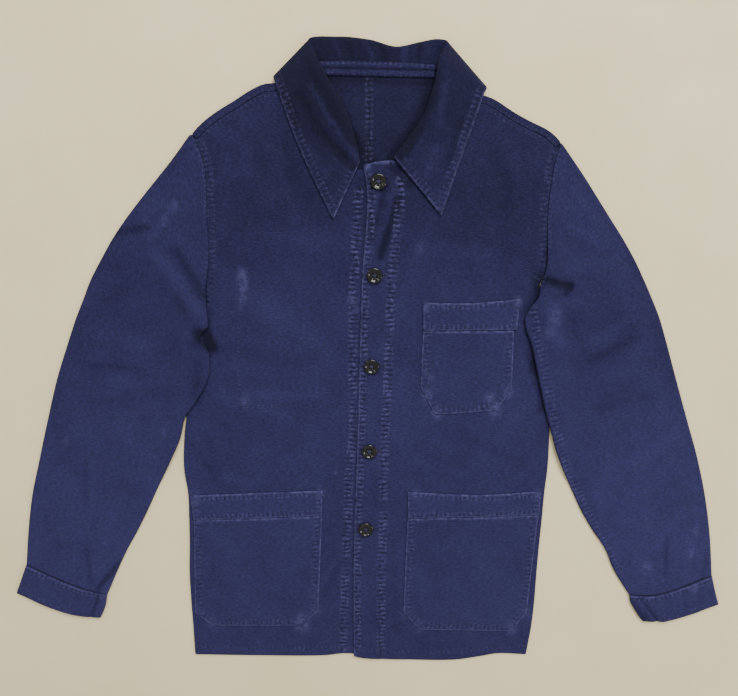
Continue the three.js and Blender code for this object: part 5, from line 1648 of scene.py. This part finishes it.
def stitches(sizes):
    """Every kept row of stitches becomes thread, one piece for each group."""
    thread = material("thread")
    tree = stitch_tree(thread)
    sockets = {item.name: item.identifier for item in tree.interface.items_tree
               if item.in_out == "INPUT"}
    for group in sorted({entry[0] for entry in STITCHES}):
        points = np.vstack([entry[1] for entry in STITCHES if entry[0] == group])
        ways = np.vstack([entry[2] for entry in STITCHES if entry[0] == group])
        points[:, 0] += SHIFT_X
        points[:, 1] += SHIFT_Y
        mesh = bpy.data.meshes.new("places")
        mesh.from_pydata((points * MM).tolist(), [], [])
        layer = mesh.attributes.new("way", "FLOAT_VECTOR", "POINT")
        layer.data.foreach_set("vector", ways.ravel())
        carrier = bpy.data.objects.new("places", mesh)
        bpy.context.scene.collection.objects.link(carrier)
        modifier = carrier.modifiers.new("Stitches", "NODES")
        modifier.node_group = tree
        modifier[sockets["Length"]] = sizes.stitch_length
        modifier[sockets["Thread"]] = sizes.thread_width / 2
        ready = carrier.evaluated_get(bpy.context.evaluated_depsgraph_get())
        made = bpy.data.meshes.new_from_object(ready)
        bpy.data.objects.remove(carrier)
        piece = bpy.data.objects.new("stitches_" + group, made)
        bpy.context.scene.collection.objects.link(piece)
        if not made.materials:
            made.materials.append(thread)
        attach(piece, "root")


# Stage


def floor_material():
    """Pale floor with faint clouds."""
    made, w, shader = new_material("pale_floor")
    spot = w.node("ShaderNodeTexCoord").outputs["Object"]
    clouds = w.span(w.noise(spot, 5, 4, 0.6), 0.3, 0.7)
    w.join(w.blend(clouds, (0.87, 0.755, 0.445, 1), (0.93, 0.81, 0.50, 1)),
           shader.inputs["Base Color"])
    shader.inputs["Roughness"].default_value = 0.85
    return made


def area_light(name, place, size, power, colour):
    """A square lamp turned towards the middle of the floor."""
    data = bpy.data.lights.new(name, "AREA")
    data.shape = "SQUARE"
    data.size = size
    data.energy = power
    data.color = colour
    light = bpy.data.objects.new(name, data)
    light.location = place
    way = -np.array(place)
    tilt = math.acos(-way[2] / np.linalg.norm(way))
    turn = math.atan2(way[1], way[0]) - math.pi / 2
    light.rotation_euler = (tilt, 0, turn)
    bpy.context.scene.collection.objects.link(light)


def stage():
    """A pale floor, soft light from above and the camera that looks down on it."""
    mesh = bpy.data.meshes.new("floor")
    corners = [(x * FLOOR_HALF, y * FLOOR_HALF, FLOOR_LEVEL)
               for x, y in ((-1, -1), (1, -1), (1, 1), (-1, 1))]
    mesh.from_pydata(corners, [], [(0, 1, 2, 3)])
    mesh.materials.append(floor_material())
    floor = bpy.data.objects.new("floor", mesh)
    bpy.context.scene.collection.objects.link(floor)
    for name, settings in LAMPS.items():
        area_light(name, *settings)
    world = bpy.data.worlds.new("soft_room")
    world.use_nodes = True
    world.node_tree.nodes["Background"].inputs[0].default_value = (1.0, 0.98, 0.96, 1)
    world.node_tree.nodes["Background"].inputs[1].default_value = ROOM_LIGHT
    bpy.context.scene.world = world
    tilt = math.radians(CAMERA_TILT)
    target = (SHIFT_X * MM, SHIFT_Y * MM, CAMERA_AIM)
    camera_data = bpy.data.cameras.new("camera")
    camera_data.sensor_width = SENSOR_WIDTH
    camera_data.lens = CAMERA_LENS
    camera = bpy.data.objects.new("camera", camera_data)
    camera.location = (target[0], target[1] + CAMERA_DISTANCE * math.sin(tilt),
                       target[2] + CAMERA_DISTANCE * math.cos(tilt))
    camera.rotation_euler = (-tilt, 0, 0)
    bpy.context.scene.collection.objects.link(camera)
    bpy.context.scene.camera = camera


# Add-on classes


class WorkJacketSizes(bpy.types.PropertyGroup):
    deep_colour: bpy.props.FloatVectorProperty(
        name="Deep dye", description="Colour of the cloth where it has not faded",
        subtype="COLOR", default=(0.0086, 0.0080, 0.034))
    faded_colour: bpy.props.FloatVectorProperty(
        name="Faded dye", description="Colour of the cloth where it has faded",
        subtype="COLOR", default=(0.0365, 0.0340, 0.126))
    worn_colour: bpy.props.FloatVectorProperty(
        name="Worn edge", description="Colour of rubbed seams and edges",
        subtype="COLOR", default=(0.086, 0.082, 0.220))
    thread_colour: bpy.props.FloatVectorProperty(
        name="Thread", description="Colour of the sewing thread",
        subtype="COLOR", default=(0.026, 0.026, 0.080))
    button_colour: bpy.props.FloatVectorProperty(
        name="Button", description="Darkest colour of the horn buttons",
        subtype="COLOR", default=(0.0030, 0.0028, 0.0026))
    ribs: bpy.props.FloatProperty(
        name="Twill ribs", description="Twill ribs in a metre of cloth", default=1100.0)
    stitch_length: bpy.props.FloatProperty(
        name="Stitch length", description="Length of one float of thread",
        default=0.0025, unit="LENGTH")
    thread_width: bpy.props.FloatProperty(
        name="Thread width", description="Thickness of the sewing thread",
        default=0.0006, unit="LENGTH")


class JACKET_OT_body(bpy.types.Operator):
    """Make the back panels, both fronts and the inside pocket"""
    bl_idname = "jacket.body"
    bl_label = "Body panels"

    def execute(self, context):
        back_panels()
        front_panels()
        return {"FINISHED"}


class JACKET_OT_pockets(bpy.types.Operator):
    """Make the patch pockets and their bands"""
    bl_idname = "jacket.pockets"
    bl_label = "Patch pockets"

    def execute(self, context):
        patch_pocket("chest_pocket", "chest_band", CHEST_BAG, CHEST_BAND, top_top)
        patch_pocket("lower_pocket_left", "lower_band_left", LEFT_BAG, LEFT_BAND, top_top)
        patch_pocket("lower_pocket_right", "lower_band_right", RIGHT_BAG, RIGHT_BAND,
                     front_top)
        return {"FINISHED"}


class JACKET_OT_sleeves(bpy.types.Operator):
    """Make the sleeves and cuffs"""
    bl_idname = "jacket.sleeves"
    bl_label = "Sleeves and cuffs"

    def execute(self, context):
        sleeves()
        cuffs()
        return {"FINISHED"}


class JACKET_OT_collar(bpy.types.Operator):
    """Make the collar and the strip over the neck seam"""
    bl_idname = "jacket.collar"
    bl_label = "Collar"

    def execute(self, context):
        collar()
        neck_strip()
        return {"FINISHED"}


class JACKET_OT_buttons(bpy.types.Operator):
    """Make the buttons, their thread and the buttonholes"""
    bl_idname = "jacket.buttons"
    bl_label = "Buttons"

    def execute(self, context):
        buttons()
        buttonholes()
        return {"FINISHED"}


class JACKET_OT_sewing(bpy.types.Operator):
    """Make every row of stitches"""
    bl_idname = "jacket.sewing"
    bl_label = "Stitches"

    def execute(self, context):
        stitches(context.scene.work_jacket)
        return {"FINISHED"}


class JACKET_OT_stage(bpy.types.Operator):
    """Make the floor, the lights and the camera"""
    bl_idname = "jacket.stage"
    bl_label = "Stage"

    def execute(self, context):
        stage()
        return {"FINISHED"}


STEPS = (JACKET_OT_stage, JACKET_OT_body, JACKET_OT_pockets, JACKET_OT_sleeves,
         JACKET_OT_collar, JACKET_OT_buttons, JACKET_OT_sewing)


class JACKET_PT_panel(bpy.types.Panel):
    bl_label = "Work jacket"
    bl_idname = "JACKET_PT_panel"
    bl_space_type = "VIEW_3D"
    bl_region_type = "UI"
    bl_category = "Jacket"

    def draw(self, context):
        for key in WorkJacketSizes.__annotations__:
            self.layout.prop(context.scene.work_jacket, key)
        for step in STEPS:
            self.layout.operator(step.bl_idname)


def register():
    for cls in (WorkJacketSizes, *STEPS, JACKET_PT_panel):
        bpy.utils.register_class(cls)
    bpy.types.Scene.work_jacket = bpy.props.PointerProperty(type=WorkJacketSizes)


def unregister():
    del bpy.types.Scene.work_jacket
    for cls in (JACKET_PT_panel, *reversed(STEPS), WorkJacketSizes):
        bpy.utils.unregister_class(cls)


def main():
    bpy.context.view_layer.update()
    register()
    bpy.ops.jacket.stage()
    bpy.ops.jacket.body()
    bpy.ops.jacket.pockets()
    bpy.ops.jacket.sleeves()
    bpy.ops.jacket.collar()
    bpy.ops.jacket.buttons()
    bpy.ops.jacket.sewing()


if __name__ == "__main__":
    main()
